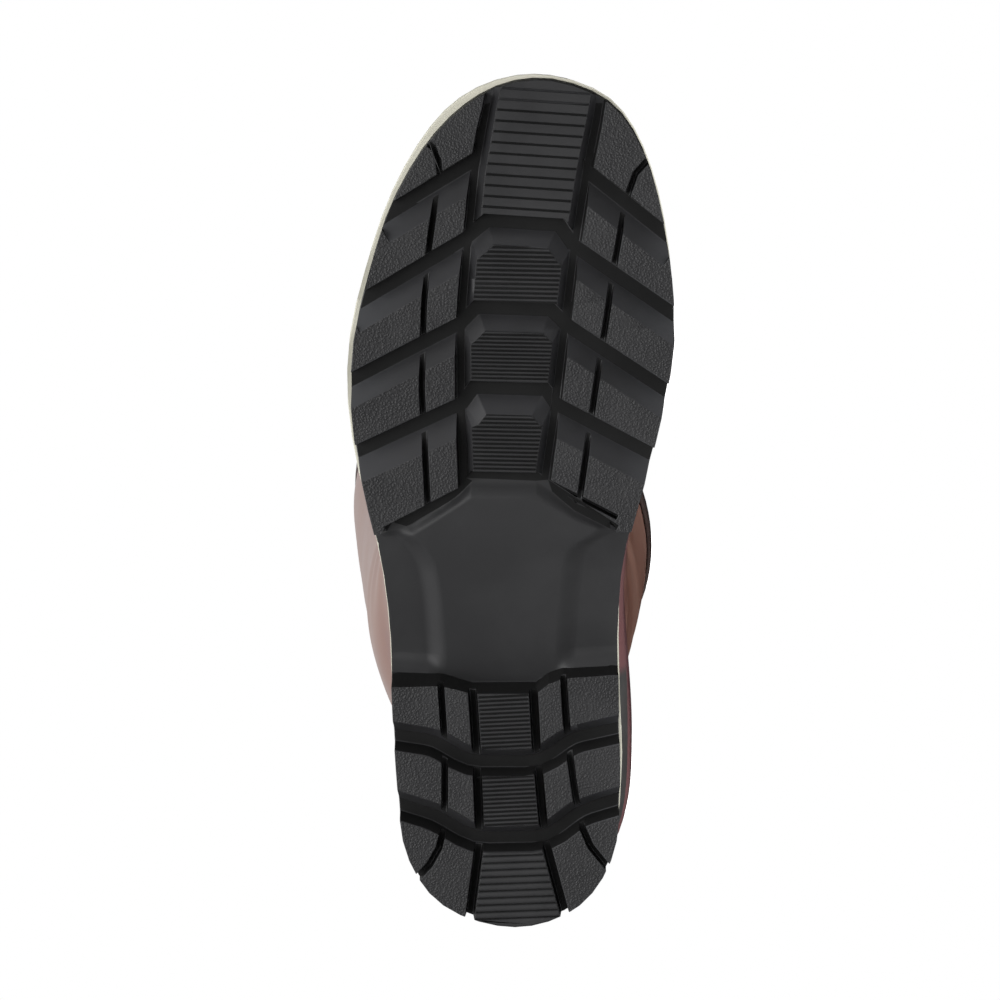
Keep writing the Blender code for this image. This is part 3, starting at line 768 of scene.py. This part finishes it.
class Finishes:
    """All the materials of the boot."""

    def __init__(self) -> None:
        """Build every finish once."""
        groups = RubberGroups()
        self.pebbled = PebbledRubber(
            "pebbled_black_rubber",
            ((0.021, 0.021, 0.022), (0.026, 0.026, 0.027)),
            (0.48, 0.56),
            skin_size=0.35,
            sheen=0.3,
        ).material(groups)
        self.ribbed = Rubber(
            "ribbed_black_rubber",
            ((0.020, 0.020, 0.021), (0.025, 0.025, 0.026)),
            (0.46, 0.54),
            skin_size=0.4,
            sheen=0.3,
        ).material(groups)
        self.waist = Rubber(
            "smooth_black_rubber",
            ((0.023, 0.023, 0.024), (0.027, 0.027, 0.028)),
            (0.44, 0.50),
            patches_per_metre=30.0,
            skin_depth=0.008,
            sheen=0.3,
        ).material(groups)
        # Slopes with a painted reflection, paler towards the edges of the sole
        self.slopes = SlopedRubber(
            "sloped_black_rubber",
            ((0.021, 0.021, 0.022), (0.025, 0.025, 0.027)),
            (0.44, 0.50),
            skin_depth=0.010,
            sheen=0.3,
        ).material(groups)
        # Same rubber, darker and less glossy: painted shade in the grooves and on steep walls
        self.grooves = Rubber(
            "painted_shade_groove_rubber",
            ((0.009, 0.009, 0.009), (0.011, 0.011, 0.011)),
            (0.46, 0.52),
            skin_depth=0.010,
            sheen=0.12,
        ).material(groups)
        self.cream = Rubber(
            "cream_rubber",
            ((0.50, 0.485, 0.400), (0.56, 0.545, 0.460)),
            (0.52, 0.62),
            patches_per_metre=60.0,
            skin_size=0.6,
            skin_depth=0.03,
        ).material(groups)
        self.rand = RandRubber(
            "rand_rubber",
            ((0.042, 0.041, 0.041), (0.056, 0.055, 0.054)),
            (0.40, 0.50),
            patches_per_metre=45.0,
        ).material(groups)
        self.upper = UpperRubber(
            "upper_rubber",
            ((0.110, 0.040, 0.046), (0.135, 0.055, 0.060)),
            (0.36, 0.46),
            patches_per_metre=22.0,
            skin_size=0.7,
            coat=0.45,
            coat_roughness=0.3,
        ).material(groups)
        self.collar = Rubber(
            "collar_rubber",
            ((0.036, 0.021, 0.018), (0.050, 0.030, 0.025)),
            (0.40, 0.50),
            patches_per_metre=45.0,
            skin_depth=0.03,
        ).material(groups)
        lining = Textile("lining_knit", (0.34, 0.27, 0.21), (0.16, 0.12, 0.09), 1.1, 0.25, 0.6)
        self.lining = lining.material()
        felt = Textile("insole_felt", (0.20, 0.17, 0.14), (0.10, 0.085, 0.07), 0.7, 0.3, 6.0)
        self.felt = felt.material()


# Tread


class RibShape(Enum):
    """Cross sections of the ribs on the centre blocks: width and segments of the bevel on their tops."""

    LAND = (0.15, 1)
    RIDGE = (0.32, 2)
    WAVE = (0.80, 3)


@dataclass(frozen=True)
class RibBlock:
    """One centre block of the tread and the grooves between its ribs.

    The first groove crosses the middle of the block at first_groove, and tilt is how far a groove falls
    towards the heel for each millimetre across to the medial side. No groove lies more than one pitch
    behind rear.
    """

    name: str
    front: float
    rear: float
    first_groove: float
    pitch: float
    gap: float
    tilt: float
    shape: RibShape
    middle_y: float = 6.0

    def grooves(self) -> np.ndarray:
        """Lengths at which the grooves cross the block's middle, from the front."""
        return np.arange(self.first_groove, self.rear - self.pitch, -self.pitch)

    def across(self, points: np.ndarray) -> np.ndarray:
        """Length at the block's middle of the line along a rib through each point."""
        return points[:, 0] + self.tilt * (points[:, 1] - self.middle_y)


RIB_BLOCKS = (
    RibBlock("toe_lands", 306.0, 254.0, 301.4, 3.74, 0.75, 0.065, RibShape.LAND),
    RibBlock("forefoot_ribs_1", 249.0, 225.5, 246.6, 1.60, 0.72, 0.02, RibShape.RIDGE),
    RibBlock("forefoot_ribs_2", 218.5, 197.6, 217.0, 1.42, 0.64, 0.02, RibShape.RIDGE),
    RibBlock("forefoot_ribs_3", 188.5, 165.6, 186.8, 1.50, 0.68, 0.02, RibShape.RIDGE),
    RibBlock("heel_ribs_1", 86.0, 64.0, 84.6, 1.55, 0.70, -0.05, RibShape.RIDGE),
    RibBlock("heel_ribs_2", 56.0, 35.8, 54.6, 1.58, 0.70, -0.05, RibShape.RIDGE),
    RibBlock("heel_ribs_3", 27.5, 4.4, 25.4, 2.60, 0.32, -0.04, RibShape.WAVE),
)


def soft_line(at: np.ndarray, knots: Knots, values: Knots, reach: float) -> np.ndarray:
    """Line through values at rising knots, with its bends rounded.

    Args:
        at: Where the line is wanted.
        knots: Where its values are.
        values: The values there.
        reach: How far from a knot its bend is rounded.

    Returns:
        The line's values.
    """
    shifts = np.linspace(-reach, reach, BEND_STEPS)
    return np.mean([np.interp(at + shift, knots, values) for shift in shifts], axis=0)


def soft_step(start: float, end: float, at: np.ndarray) -> np.ndarray:
    """Share from 0 at start to 1 at end, with level ends."""
    share = np.clip((at - start) / (end - start), 0.0, 1.0)
    return share**2 * (3 - 2 * share)


@dataclass(frozen=True)
class WaistForm:
    """Smooth form of the arched waist.

    A plate lies between two scoops with fillets at the heel's breast, and a slope leads from it to the
    groove behind the lugs, from its head at the plate to its foot in the groove. Each reach is how far the
    bends of a line are rounded.
    """

    arch_x: Knots = (85.0, 103.0, 121.5, 140.0, 163.5)
    arch_level: Knots = (15.0, 11.4, 7.4, 4.2, 2.8)
    arch_reach: float = 7.0
    plate_x: Knots = (86.0, 99.3, 118.5, 130.3, 137.2, 140.4, 143.5)
    plate_lateral: Knots = (-18.4, -18.8, -20.1, -21.9, -25.0, -28.0, -32.0)
    plate_medial: Knots = (19.0, 19.5, 20.9, 21.8, 23.2, 27.3, 34.6)
    plate_reach: float = 3.0
    breast_y: Knots = (-62.0, -31.4, -21.5, -14.7, -9.9, 12.8, 17.5, 22.5, 26.8, 39.4, 64.0)
    breast_x: Knots = (91.0, 90.3, 89.8, 87.7, 86.2, 86.4, 89.9, 91.9, 92.2, 93.0, 93.4)
    breast_reach: float = 1.0
    line_y: Knots = (-40.6, -31.4, -21.5, -14.7, -9.9, 12.8, 17.5, 22.5, 26.8, 39.4, 41.6)
    head_x: Knots = (142.8, 142.9, 149.6, 154.2, 157.4, 157.0, 154.2, 151.4, 148.8, 143.9, 143.8)
    head_reach: float = 1.5
    head_lead: float = 1.2
    foot_x: Knots = (143.8, 146.4, 152.6, 157.3, 162.4, 162.4, 159.5, 155.0, 151.4, 144.9, 144.4)
    groove_y: Knots = (-42.8, -40.6, 39.4, 41.6)
    groove_share: Knots = (0.0, 1.0, 1.0, 0.0)
    fillet_distance: Knots = (0.0, 1.5, 3.1, 4.9, 7.0)
    fillet_rise: Knots = (4.4, 2.7, 1.4, 0.5, 0.0)
    fillet_reach: float = 0.8
    scoop_depth: float = 2.4
    edge_depth: float = 2.9
    scoop_wall: float = 8.0
    scoop_width: float = 22.0
    slack: float = 2.4
    facing: float = 0.5

    def height(self, x: np.ndarray, y: np.ndarray) -> np.ndarray:
        """Height of the waist over the ground.

        Args:
            x: Lengths along the sole.
            y: Places across it.

        Returns:
            The heights.
        """
        lateral = soft_line(x, self.plate_x, self.plate_lateral, self.plate_reach)
        medial = soft_line(x, self.plate_x, self.plate_medial, self.plate_reach)
        outside = np.maximum(lateral - y, y - medial)
        near_edge = soft_step(self.scoop_wall, self.scoop_width, outside)
        shallower = (1 - self.edge_depth / self.scoop_depth) * near_edge
        share = soft_step(0.0, self.scoop_wall, outside) * (1 - shallower)
        distance = x - soft_line(y, self.breast_y, self.breast_x, self.breast_reach)
        rise = soft_line(distance, self.fillet_distance, self.fillet_rise, self.fillet_reach)
        arch = soft_line(x, self.arch_x, self.arch_level, self.arch_reach)
        level = arch + (self.scoop_depth - rise) * share
        head = soft_line(y, self.line_y, self.head_x, self.head_reach) - self.head_lead
        foot = np.interp(y, self.line_y, self.foot_x)
        slope = soft_step(0.0, 1.0, (x - head) / (foot - head))
        return level + (LUG_HEIGHT - level) * slope * np.interp(y, self.groove_y, self.groove_share)

    def spans(self, x: np.ndarray, y: np.ndarray) -> np.ndarray:
        """Places between the heel's breast and the groove behind the lugs.

        Args:
            x: Lengths along the sole.
            y: Places across it.

        Returns:
            Truth value for each place.
        """
        behind_lugs = x < np.interp(y, self.line_y, self.foot_x)
        return behind_lugs & (x > np.interp(y, self.breast_y, self.breast_x))

    def holds(self, facets: Facets) -> np.ndarray:
        """Faces of a sole that belong to the waist.

        Args:
            facets: The sole's faces.

        Returns:
            Truth value for each face.
        """
        x, y, z = facets.middle.T
        level = np.abs(z - self.height(x, y)) < self.slack
        return self.spans(x, y) & level & (facets.normal[:, 2] < -self.facing)


class SoleFinish(IntEnum):
    """Order of the materials on the sole."""

    # Grooves and steep walls: a darker copy of the rubber, painted shade
    GROOVE = 0
    LUG = 1
    WAIST = 2
    SLOPE = 3


@dataclass
class TreadSole:
    """The black outsole, with rounded edges, pebbled lugs and ribs on its centre blocks.

    A sliver is an edge too short to keep, and a point that lies off the waist's form by less than touch is
    laid on it. The rim around the toe is drawn in, by an inset that fades out over rim_depth inwards.
    """

    frame: BootFrame
    finishes: Finishes
    edge_width: float = 0.3
    edge_angle_deg: float = 24.0
    flat_angle_deg: float = 0.4
    smooth_angle_deg: float = 35.0
    rib_smooth_angle_deg: float = 50.0
    level_slack: float = 0.16
    spring_slack: float = 0.32
    facing: float = 0.97
    rib_sink: float = 0.05
    slope_facing: Span = (0.36, 0.955)
    waist: WaistForm = WaistForm()
    waist_cuts: int = 4
    sliver: float = 0.12
    touch: float = 0.3
    toe_middle: Span = (262.0, 6.0)
    toe_turn_deg: float = 95.0
    sector_deg: float = 9.0
    sector_span_deg: float = 100.0
    sector_count: int = 41
    rim_turn_deg: Knots = (-95.0, -82.0, -62.0, -45.0, -33.0, -20.0, -4.0, 15.0, 47.0, 80.0)
    rim_inset: Knots = (0.0, 0.5, 1.1, 1.8, 2.1, 1.7, 1.0, 0.4, 0.6, 0.0)
    rim_depth: Span = (3.5, 7.0)

    def build(self, node: Piece) -> None:
        """Build the sole and its ribs.

        Args:
            node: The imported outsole.
        """
        sole = copy_of(node, "tread_sole")
        self.smooth_waist(sole)
        self.trim_toe(sole)
        with editing_chosen(sole, ~self.on_waist(sole)):
            bpy.ops.mesh.dissolve_limited(angle_limit=math.radians(self.flat_angle_deg))
        ribs = [self.build_ribs(sole, block) for block in RIB_BLOCKS]
        bevel_sharp_edges(sole, self.edge_angle_deg, self.edge_width, 2)
        self.paint(sole)
        shade_flat(sole, self.smooth_angle_deg)
        seat(sole, "outsole", "outsole")
        for piece in ribs:
            dress(piece, self.finishes.ribbed)
            shade_flat(piece, self.rib_smooth_angle_deg)
            seat(piece, "outsole")

    def paint(self, sole: Piece) -> None:
        """Give the lugs, the waist and the slopes their finishes, and the grooves and steep walls painted
        shade in a darker copy of the rubber.

        Args:
            sole: The rounded sole.
        """
        kinds = self.finishes
        dress(sole, kinds.grooves, kinds.pebbled, kinds.waist, kinds.slopes)
        facets = Facets.of(sole, self.frame)
        where = (self.at_level(facets, 0.0), self.waist.holds(facets), self.on_slopes(facets))
        # All other faces, the grooves and steep walls, get the painted shade
        finish = np.select(where, (SoleFinish.LUG, SoleFinish.WAIST, SoleFinish.SLOPE), SoleFinish.GROOVE)
        sole.data.polygons.foreach_set("material_index", finish.astype(np.int32))

    def on_waist(self, sole: Piece) -> np.ndarray:
        """Truth value for each face of the sole, true on the waist."""
        return self.waist.holds(Facets.of(sole, self.frame))

    def at_level(self, facets: Facets, depth: float) -> np.ndarray:
        """Faces that lie at a depth under the tread, turned to the ground.

        Args:
            facets: The sole's faces.
            depth: How far they lie under the faces of the lugs.

        Returns:
            Truth value for each face.
        """
        length = facets.middle[:, 0]
        height = facets.middle[:, 2] - toe_spring(length)
        slack = np.where(length > SPRING_START, self.spring_slack, self.level_slack)
        slope = toe_slope(length)
        turned = (facets.normal[:, 0] * slope - facets.normal[:, 2]) / np.hypot(slope, 1.0)
        return (np.abs(height - depth) < slack) & (turned > self.facing)

    def on_slopes(self, facets: Facets) -> np.ndarray:
        """Faces of the slopes before the lugs, and other slanted walls.

        Args:
            facets: The sole's faces.

        Returns:
            Truth value for each face.
        """
        down = -facets.normal[:, 2]
        return (down > self.slope_facing[0]) & (down < self.slope_facing[1])

    def smooth_waist(self, sole: Piece) -> None:
        """Cut the faces of the waist finer and lay them on its smooth form.

        Args:
            sole: The sole as packed.
        """
        with editing_chosen(sole, self.on_waist(sole)):
            bpy.ops.mesh.subdivide(number_cuts=self.waist_cuts)
        moved = corners_of(sole, self.on_waist(sole))
        standing = self.frame.standing(points_of(sole))
        height = self.waist.height(standing[:, 0], standing[:, 1])
        off = np.abs(height - standing[:, 2])
        moved |= self.waist.spans(standing[:, 0], standing[:, 1]) & (off < self.touch)
        moved &= off < self.waist.slack
        standing[moved, 2] = height[moved]
        put_points(sole, self.frame.row(standing))
        with editing_chosen(sole, self.on_waist(sole)):
            bpy.ops.mesh.dissolve_degenerate(threshold=self.sliver * MM)

    def trim_toe(self, sole: Piece) -> None:
        """Draw the rim in around the toe, so that more of the midsole shows beside it.

        Args:
            sole: The sole before its edges are rounded.
        """
        standing = self.frame.standing(points_of(sole))
        x = standing[:, 0] - self.toe_middle[0]
        y = standing[:, 1] - self.toe_middle[1]
        turn = np.degrees(np.arctan2(y, x))
        radius = np.hypot(x, y)
        sectors = np.linspace(-self.sector_span_deg, self.sector_span_deg, self.sector_count)
        widest = [radius[np.abs(turn - sector) < self.sector_deg].max() for sector in sectors]
        share = 1 - soft_step(*self.rim_depth, np.interp(turn, sectors, widest) - radius)
        inset = np.interp(turn, self.rim_turn_deg, self.rim_inset) * share
        inset *= np.abs(turn) < self.toe_turn_deg
        standing[:, 2] -= toe_spring(standing[:, 0])
        standing[:, 0] -= inset * x / np.maximum(radius, 1.0)
        standing[:, 1] -= inset * y / np.maximum(radius, 1.0)
        standing[:, 2] += toe_spring(standing[:, 0])
        put_points(sole, self.frame.row(standing))

    def build_ribs(self, sole: Piece, block: RibBlock) -> Piece:
        """Build the ribs of one block out of a copy of its face.

        Args:
            sole: The sole before its edges are rounded.
            block: The block and its grooves.

        Returns:
            The ribs.
        """
        facets = Facets.of(sole, self.frame)
        length = facets.middle[:, 0]
        mine = self.at_level(facets, RIB_HEIGHT) & (length < block.front) & (length > block.rear)
        with editing_chosen(sole, mine):
            bpy.ops.mesh.duplicate()
            bpy.ops.mesh.separate(type="SELECTED")
        piece = next(made for made in bpy.context.selected_objects if made is not sole)
        piece.name = block.name
        piece.data.name = block.name
        self.cut_grooves(piece, block)
        self.raise_ribs(piece, block)
        return piece

    def cut_grooves(self, piece: Piece, block: RibBlock) -> None:
        """Cut the strips of the grooves out of a block's face.

        Args:
            piece: Copy of the block's face.
            block: The block and its grooves.
        """
        along = self.frame.direction(1.0, block.tilt, 0.0)
        with editing(piece):
            for groove in block.grooves():
                for edge in (groove - block.gap / 2, groove + block.gap / 2):
                    bpy.ops.mesh.select_all(action="SELECT")
                    point = self.frame.place(edge, block.middle_y, 0.0)
                    bpy.ops.mesh.bisect(plane_co=point, plane_no=along)
        across = block.across(Facets.of(piece, self.frame).middle)
        strips = np.abs(across[:, None] - block.grooves()[None, :]).min(axis=1) < block.gap / 2
        with editing_chosen(piece, strips):
            bpy.ops.mesh.delete(type="FACE")

    def raise_ribs(self, piece: Piece, block: RibBlock) -> None:
        """Raise the strips that are left to the level of the lugs, and round their tops.

        Args:
            piece: The strips.
            block: The block that they lie on.
        """
        rise = self.frame.direction(0.0, 0.0, -1.0) * RIB_HEIGHT * MM
        sink = self.frame.direction(0.0, 0.0, 1.0) * self.rib_sink * MM
        width, segments = block.shape.value
        with editing(piece):
            bpy.ops.mesh.extrude_region_move(TRANSFORM_OT_translate={"value": rise})
            bpy.ops.mesh.region_to_loop()
            bpy.ops.mesh.bevel(offset=width * MM, segments=segments, affect="EDGES", clamp_overlap=False)
            bpy.ops.mesh.select_all(action="SELECT")
            bpy.ops.mesh.fill_holes(sides=0)
            bpy.ops.mesh.select_all(action="SELECT")
            bpy.ops.mesh.normals_make_consistent(inside=False)
            bpy.ops.transform.translate(value=sink)


# Upper and trim


@dataclass(frozen=True)
class Crease:
    """A soft trough around part of the leg, with a low ridge above and below it.

    Angles are measured around the leg from its front, to the medial side above 0. The ridges lie
    ridge_place widths from the trough's line.
    """

    height: float
    centre_deg: float
    spread_deg: float
    arch: float
    lean: float
    depth: float
    width: float
    ridge_share: float = 0.45
    ridge_place: float = 1.7

    def push(self, angle: np.ndarray, height: np.ndarray) -> np.ndarray:
        """How far the wall stands out at points, below 0 in the trough.

        Args:
            angle: Angles around the leg, in radians.
            height: Heights over the tread.

        Returns:
            Distances along the wall's outward normal.
        """
        turn = np.angle(np.exp(1j * (angle - math.radians(self.centre_deg))))
        share = turn / math.radians(self.spread_deg)
        fade = np.exp(-(share**2))
        line = self.height + self.arch * share**2 + self.lean * share
        off = (height - line) / self.width
        trough = -np.exp(-(off**2))
        ridges = self.ridge_share * np.exp(-((np.abs(off) - self.ridge_place) ** 2))
        return self.depth * fade * (trough + ridges)


CREASES = (
    Crease(112.0, 0.0, 40.0, 4.0, 3.0, 1.5, 5.0),
    Crease(131.0, 4.0, 55.0, 7.0, 5.0, 2.3, 6.5),
    Crease(155.0, -6.0, 60.0, -4.0, -6.0, 1.8, 7.5),
    Crease(126.0, 180.0, 45.0, 5.0, 4.0, 1.1, 6.0),
    Crease(150.0, 172.0, 50.0, -4.0, -5.0, 1.3, 8.0),
    Crease(196.0, 30.0, 50.0, 8.0, 16.0, 0.9, 13.0),
    Crease(232.0, 205.0, 55.0, -6.0, -20.0, 0.8, 15.0),
)


@dataclass
class Upper:
    """The rubber upper with its lining: one wall of vamp, counter and shaft."""

    frame: BootFrame
    finishes: Finishes
    leg_x: float = 74.0
    leg_y: float = 3.0
    crease_floor: float = 92.0
    crease_fade: float = 12.0
    rim_angle_deg: float = 50.0
    rim_crispness: float = 0.9
    smooth_angle_deg: float = 60.0
    extra_rows: Knots = (186.0, 204.0, 242.0, 262.0, 302.0, 320.0, 352.0, 370.0)
    lining_index: int = 1

    def build(self, node: Piece) -> None:
        """Build the upper.

        Args:
            node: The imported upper.
        """
        piece = copy_of(node, "boot_upper")
        make_quads(piece)
        up = self.frame.direction(0.0, 0.0, 1.0)
        with editing(piece):
            for height in self.extra_rows:
                bpy.ops.mesh.select_all(action="SELECT")
                bpy.ops.mesh.bisect(plane_co=self.frame.place(0.0, 0.0, height), plane_no=up)
        self.line(piece)
        self.crease_rims(piece)
        subdivide(piece, 2)
        self.fold(piece)
        shade(piece, self.smooth_angle_deg)
        seat(piece, "upper", "upper")

    def line(self, piece: Piece) -> None:
        """Give the outer wall its rubber and all the rest the lining.

        Args:
            piece: The upper in quads.
        """
        dress(piece, self.finishes.upper, self.finishes.lining)
        lateral = Facets.of(piece, self.frame).middle[:, 1].argmin()
        start = np.arange(len(piece.data.polygons)) == lateral
        with editing_chosen(piece, start):
            bpy.ops.mesh.faces_select_linked_flat(sharpness=math.radians(self.rim_angle_deg))
            bpy.ops.mesh.select_all(action="INVERT")
            piece.active_material_index = self.lining_index
            bpy.ops.object.material_slot_assign()

    def crease_rims(self, piece: Piece) -> None:
        """Keep the wall's rims crisp under subdivision.

        Args:
            piece: The upper in quads.
        """
        with editing(piece, "EDGE"):
            bpy.ops.mesh.select_all(action="DESELECT")
            bpy.ops.mesh.edges_select_sharp(sharpness=math.radians(self.rim_angle_deg))
            bpy.ops.transform.edge_crease(value=self.rim_crispness)

    def fold(self, piece: Piece) -> None:
        """Press the creases into both faces of the wall.

        Args:
            piece: The subdivided upper.
        """
        points = points_of(piece)
        standing = self.frame.standing(points)
        angle = np.arctan2(standing[:, 1] - self.leg_y, standing[:, 0] - self.leg_x)
        push = sum(crease.push(angle, standing[:, 2]) for crease in CREASES)
        push *= np.clip((standing[:, 2] - self.crease_floor) / self.crease_fade, 0.0, 1.0)
        finish = np.zeros(len(piece.data.polygons), np.int32)
        piece.data.polygons.foreach_get("material_index", finish)
        inner = corners_of(piece, finish == self.lining_index)
        outward = vectors_of(piece.data.vertex_normals, "vector") * np.where(inner, -1.0, 1.0)[:, None]
        put_points(piece, points + outward * (push * MM)[:, None])


@dataclass
class Trim:
    """The pieces around the upper: midsole, rand, collar binding and insole."""

    finishes: Finishes
    flat_angle_deg: float = 0.3
    plate_angle_deg: float = 50.0
    plate_smooth_angle_deg: float = 40.0
    band_angle_deg: float = 32.0
    band_edge: float = 0.25
    band_smooth_angle_deg: float = 60.0

    def build(self, nodes: dict[str, Piece]) -> None:
        """Build all four.

        Args:
            nodes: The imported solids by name.
        """
        self.build_plate(nodes["midsole"], "cream_midsole", self.finishes.cream, 0.5)
        self.build_band(nodes["foxing"], "rand", self.finishes.rand)
        self.build_band(nodes["collar_band"], "collar_binding", self.finishes.collar)
        self.build_plate(nodes["insole"], "felt_insole", self.finishes.felt, 0.9)

    def build_plate(self, node: Piece, name: str, material: Material, rim: float) -> None:
        """Plate the length of the foot, with rounded rims.

        Args:
            node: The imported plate, whose name is its slot's too.
            name: Name of the piece.
            material: Its finish.
            rim: Width of the rims.
        """
        piece = copy_of(node, name)
        with editing(piece):
            bpy.ops.mesh.dissolve_limited(angle_limit=math.radians(self.flat_angle_deg))
        bevel_sharp_edges(piece, self.plate_angle_deg, rim, 3)
        dress(piece, material)
        shade(piece, self.plate_smooth_angle_deg)
        seat(piece, node.name, node.name)

    def build_band(self, node: Piece, name: str, material: Material) -> None:
        """Band around the upper, with rounded edges.

        Args:
            node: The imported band, whose name is its slot's too.
            name: Name of the piece.
            material: Its finish.
        """
        piece = copy_of(node, name)
        make_quads(piece)
        bevel_sharp_edges(piece, self.band_angle_deg, self.band_edge, 2)
        subdivide(piece, 1)
        dress(piece, material)
        shade(piece, self.band_smooth_angle_deg)
        seat(piece, node.name, node.name)


# Studio


@dataclass(frozen=True)
class SoftBox:
    """A square soft light, aimed at the boot, in metres in the row frame."""

    name: str
    place: tuple[float, float, float]
    aim: tuple[float, float, float]
    side: float
    watts: float

    def build(self) -> None:
        """Add the light."""
        toward = Vector(self.aim) - Vector(self.place)
        turn = toward.to_track_quat("-Z", "Y").to_euler()
        bpy.ops.object.light_add(type="AREA", location=self.place, rotation=turn)
        light = bpy.context.object
        light.name = self.name
        light.data.shape = "SQUARE"
        light.data.size = self.side
        light.data.energy = self.watts


SOFT_BOXES = (
    SoftBox("key_light", (-0.10, -1.00, 1.85), (0.0, -0.15, 0.06), 2.2, 54.0),
    SoftBox("front_light", (0.05, -2.50, 1.40), (0.0, -0.19, 0.06), 2.0, 33.0),
    SoftBox("toe_light", (1.90, -1.00, 0.75), (0.0, -0.19, 0.06), 1.0, 6.0),
    SoftBox("back_panel", (-0.3, 1.8, 0.95), (0.0, 0.0, 0.10), 1.8, 7.2),
)


@dataclass(frozen=True)
class PhotoCamera:
    """The photo's camera, in the standing frame: it looks at the tread from under the toe."""

    pitch_deg: float = 11.5
    aim_x: float = 156.2
    distance: float = 2000.0
    focal_widths: float = 5.625
    sensor: float = 36.0
    clip_end_m: float = 50.0

    def build(self, frame: BootFrame) -> None:
        """Add the camera.

        Args:
            frame: The boot's standing frame.
        """
        pitch = math.radians(self.pitch_deg)
        right = frame.direction(0.0, 1.0, 0.0)
        up = frame.direction(math.cos(pitch), 0.0, math.sin(pitch))
        back = frame.direction(math.sin(pitch), 0.0, -math.cos(pitch))
        eye = frame.place(self.aim_x, 0.0, 0.0) + back * self.distance * MM
        bpy.ops.object.camera_add(location=eye)
        camera = bpy.context.object
        camera.name = "photo_camera"
        camera.rotation_euler = Matrix((right, up, back)).transposed().to_euler()
        camera.data.sensor_width = self.sensor
        camera.data.lens = self.focal_widths * self.sensor
        camera.data.clip_end = self.clip_end_m
        bpy.context.scene.camera = camera
        LOG.info("camera stands %.1f mm over the floor", eye.z / MM)


@dataclass(frozen=True)
class Studio:
    """Pale floor, white surroundings and soft lights.

    The camera sees a pale floor that turns white where it looks along it. The boot is lit by a darker one,
    brighter under the boot and behind it, and mirrors hardly any floor at all.
    """

    floor_radius_m: float = 0.8
    floor_middle: tuple[float, float, float] = (0.0, 0.35, 0.0)
    floor_colour: Colour = (0.80, 0.80, 0.80)
    floor_dust: float = 0.98
    floor_bounce: Colour = (0.36, 0.36, 0.37)
    floor_mirrored: Colour = (0.04, 0.04, 0.04)
    floor_grazing: Span = (0.95, 0.99)
    floor_glow: Span = (0.10, 1.20)
    bounce_glow: Span = (1.10, 1.70)
    bounce_turn: Span = (-0.57, -0.49)
    surround_light: float = 0.05

    def build(self, frame: BootFrame) -> None:
        """Build the studio and its camera.

        Args:
            frame: The boot's standing frame.
        """
        self.build_floor()
        self.build_surroundings()
        for box in SOFT_BOXES:
            box.build()
        PhotoCamera().build(frame)
        bpy.context.scene.view_settings.view_transform = "Standard"

    def build_floor(self) -> None:
        """Round floor under the boot and behind it."""
        bpy.ops.object.select_all(action="DESELECT")
        bpy.ops.mesh.primitive_circle_add(
            vertices=96, radius=self.floor_radius_m, fill_type="NGON", location=self.floor_middle
        )
        floor = bpy.context.object
        floor.name = "studio_floor"
        dress(floor, self.floor_material())

    def floor_material(self) -> Material:
        """Material that differs for the camera, for reflections and for all other light.

        Returns:
            The material.
        """
        material, graph, shader, place = new_material("studio_floor")
        dust_and_painted_reflection = graph.add("ShaderNodeTexNoise", {"Vector": place, "Scale": 3.0, "Detail": 2.0})
        darker = tuple(self.floor_dust * part for part in self.floor_colour)
        shown = graph.mixed(dust_and_painted_reflection.outputs["Fac"], darker, self.floor_colour)
        ray = graph.add("ShaderNodeLightPath")
        seen = ray.outputs["Is Camera Ray"]
        mirrored = ray.outputs["Is Glossy Ray"]
        back = graph.mixed(mirrored, self.floor_bounce, self.floor_mirrored)
        graph.feed(shader.inputs["Base Color"], graph.mixed(seen, back, shown))
        shader.inputs["Roughness"].default_value = 1.0
        shader.inputs["Specular IOR Level"].default_value = 0.0
        grazing = graph.add("ShaderNodeLayerWeight", {"Blend": 0.5}).outputs["Facing"]
        shown_glow = graph.ranged(grazing, self.floor_grazing, self.floor_glow, soft=True)
        back_glow = graph.ranged(graph.part(place, "Y"), self.bounce_turn, self.bounce_glow, soft=True)
        back_glow = graph.math("MULTIPLY", back_glow, graph.math("SUBTRACT", 1.0, mirrored))
        unseen = graph.math("MULTIPLY", back_glow, graph.math("SUBTRACT", 1.0, seen))
        shader.inputs["Emission Color"].default_value = WHITE
        glow = graph.math("ADD", unseen, graph.math("MULTIPLY", seen, shown_glow))
        graph.feed(shader.inputs["Emission Strength"], glow)
        material.cycles.emission_sampling = "NONE"
        return material

    def build_surroundings(self) -> None:
        """White to the camera, and dimmer as a light."""
        world = bpy.data.worlds.new("studio_white")
        bpy.context.scene.world = world
        world.use_nodes = True
        graph = Graph(world.node_tree)
        light = world.node_tree.nodes["Background"]
        light.inputs["Color"].default_value = WHITE
        light.inputs["Strength"].default_value = self.surround_light
        seen = graph.add("ShaderNodeBackground", {"Color": WHITE, "Strength": 1.0})
        ray = graph.add("ShaderNodeLightPath").outputs["Is Camera Ray"]
        both = graph.add("ShaderNodeMixShader", {0: ray, 1: light.outputs[0], 2: seen.outputs[0]})
        graph.feed(world.node_tree.nodes["World Output"].inputs["Surface"], both.outputs[0])


def main() -> None:
    """Dress the boot and set up the studio."""
    logging.basicConfig(level=logging.INFO, format="%(message)s")
    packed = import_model()
    nodes = packed["nodes"]
    frame = BootFrame.find(packed["record"], nodes["outsole"])
    finishes = Finishes()
    TreadSole(frame, finishes).build(nodes["outsole"])
    Trim(finishes).build(nodes)
    Upper(frame, finishes).build(nodes["upper"])
    Studio().build(frame)


if __name__ == "__main__":
    main()
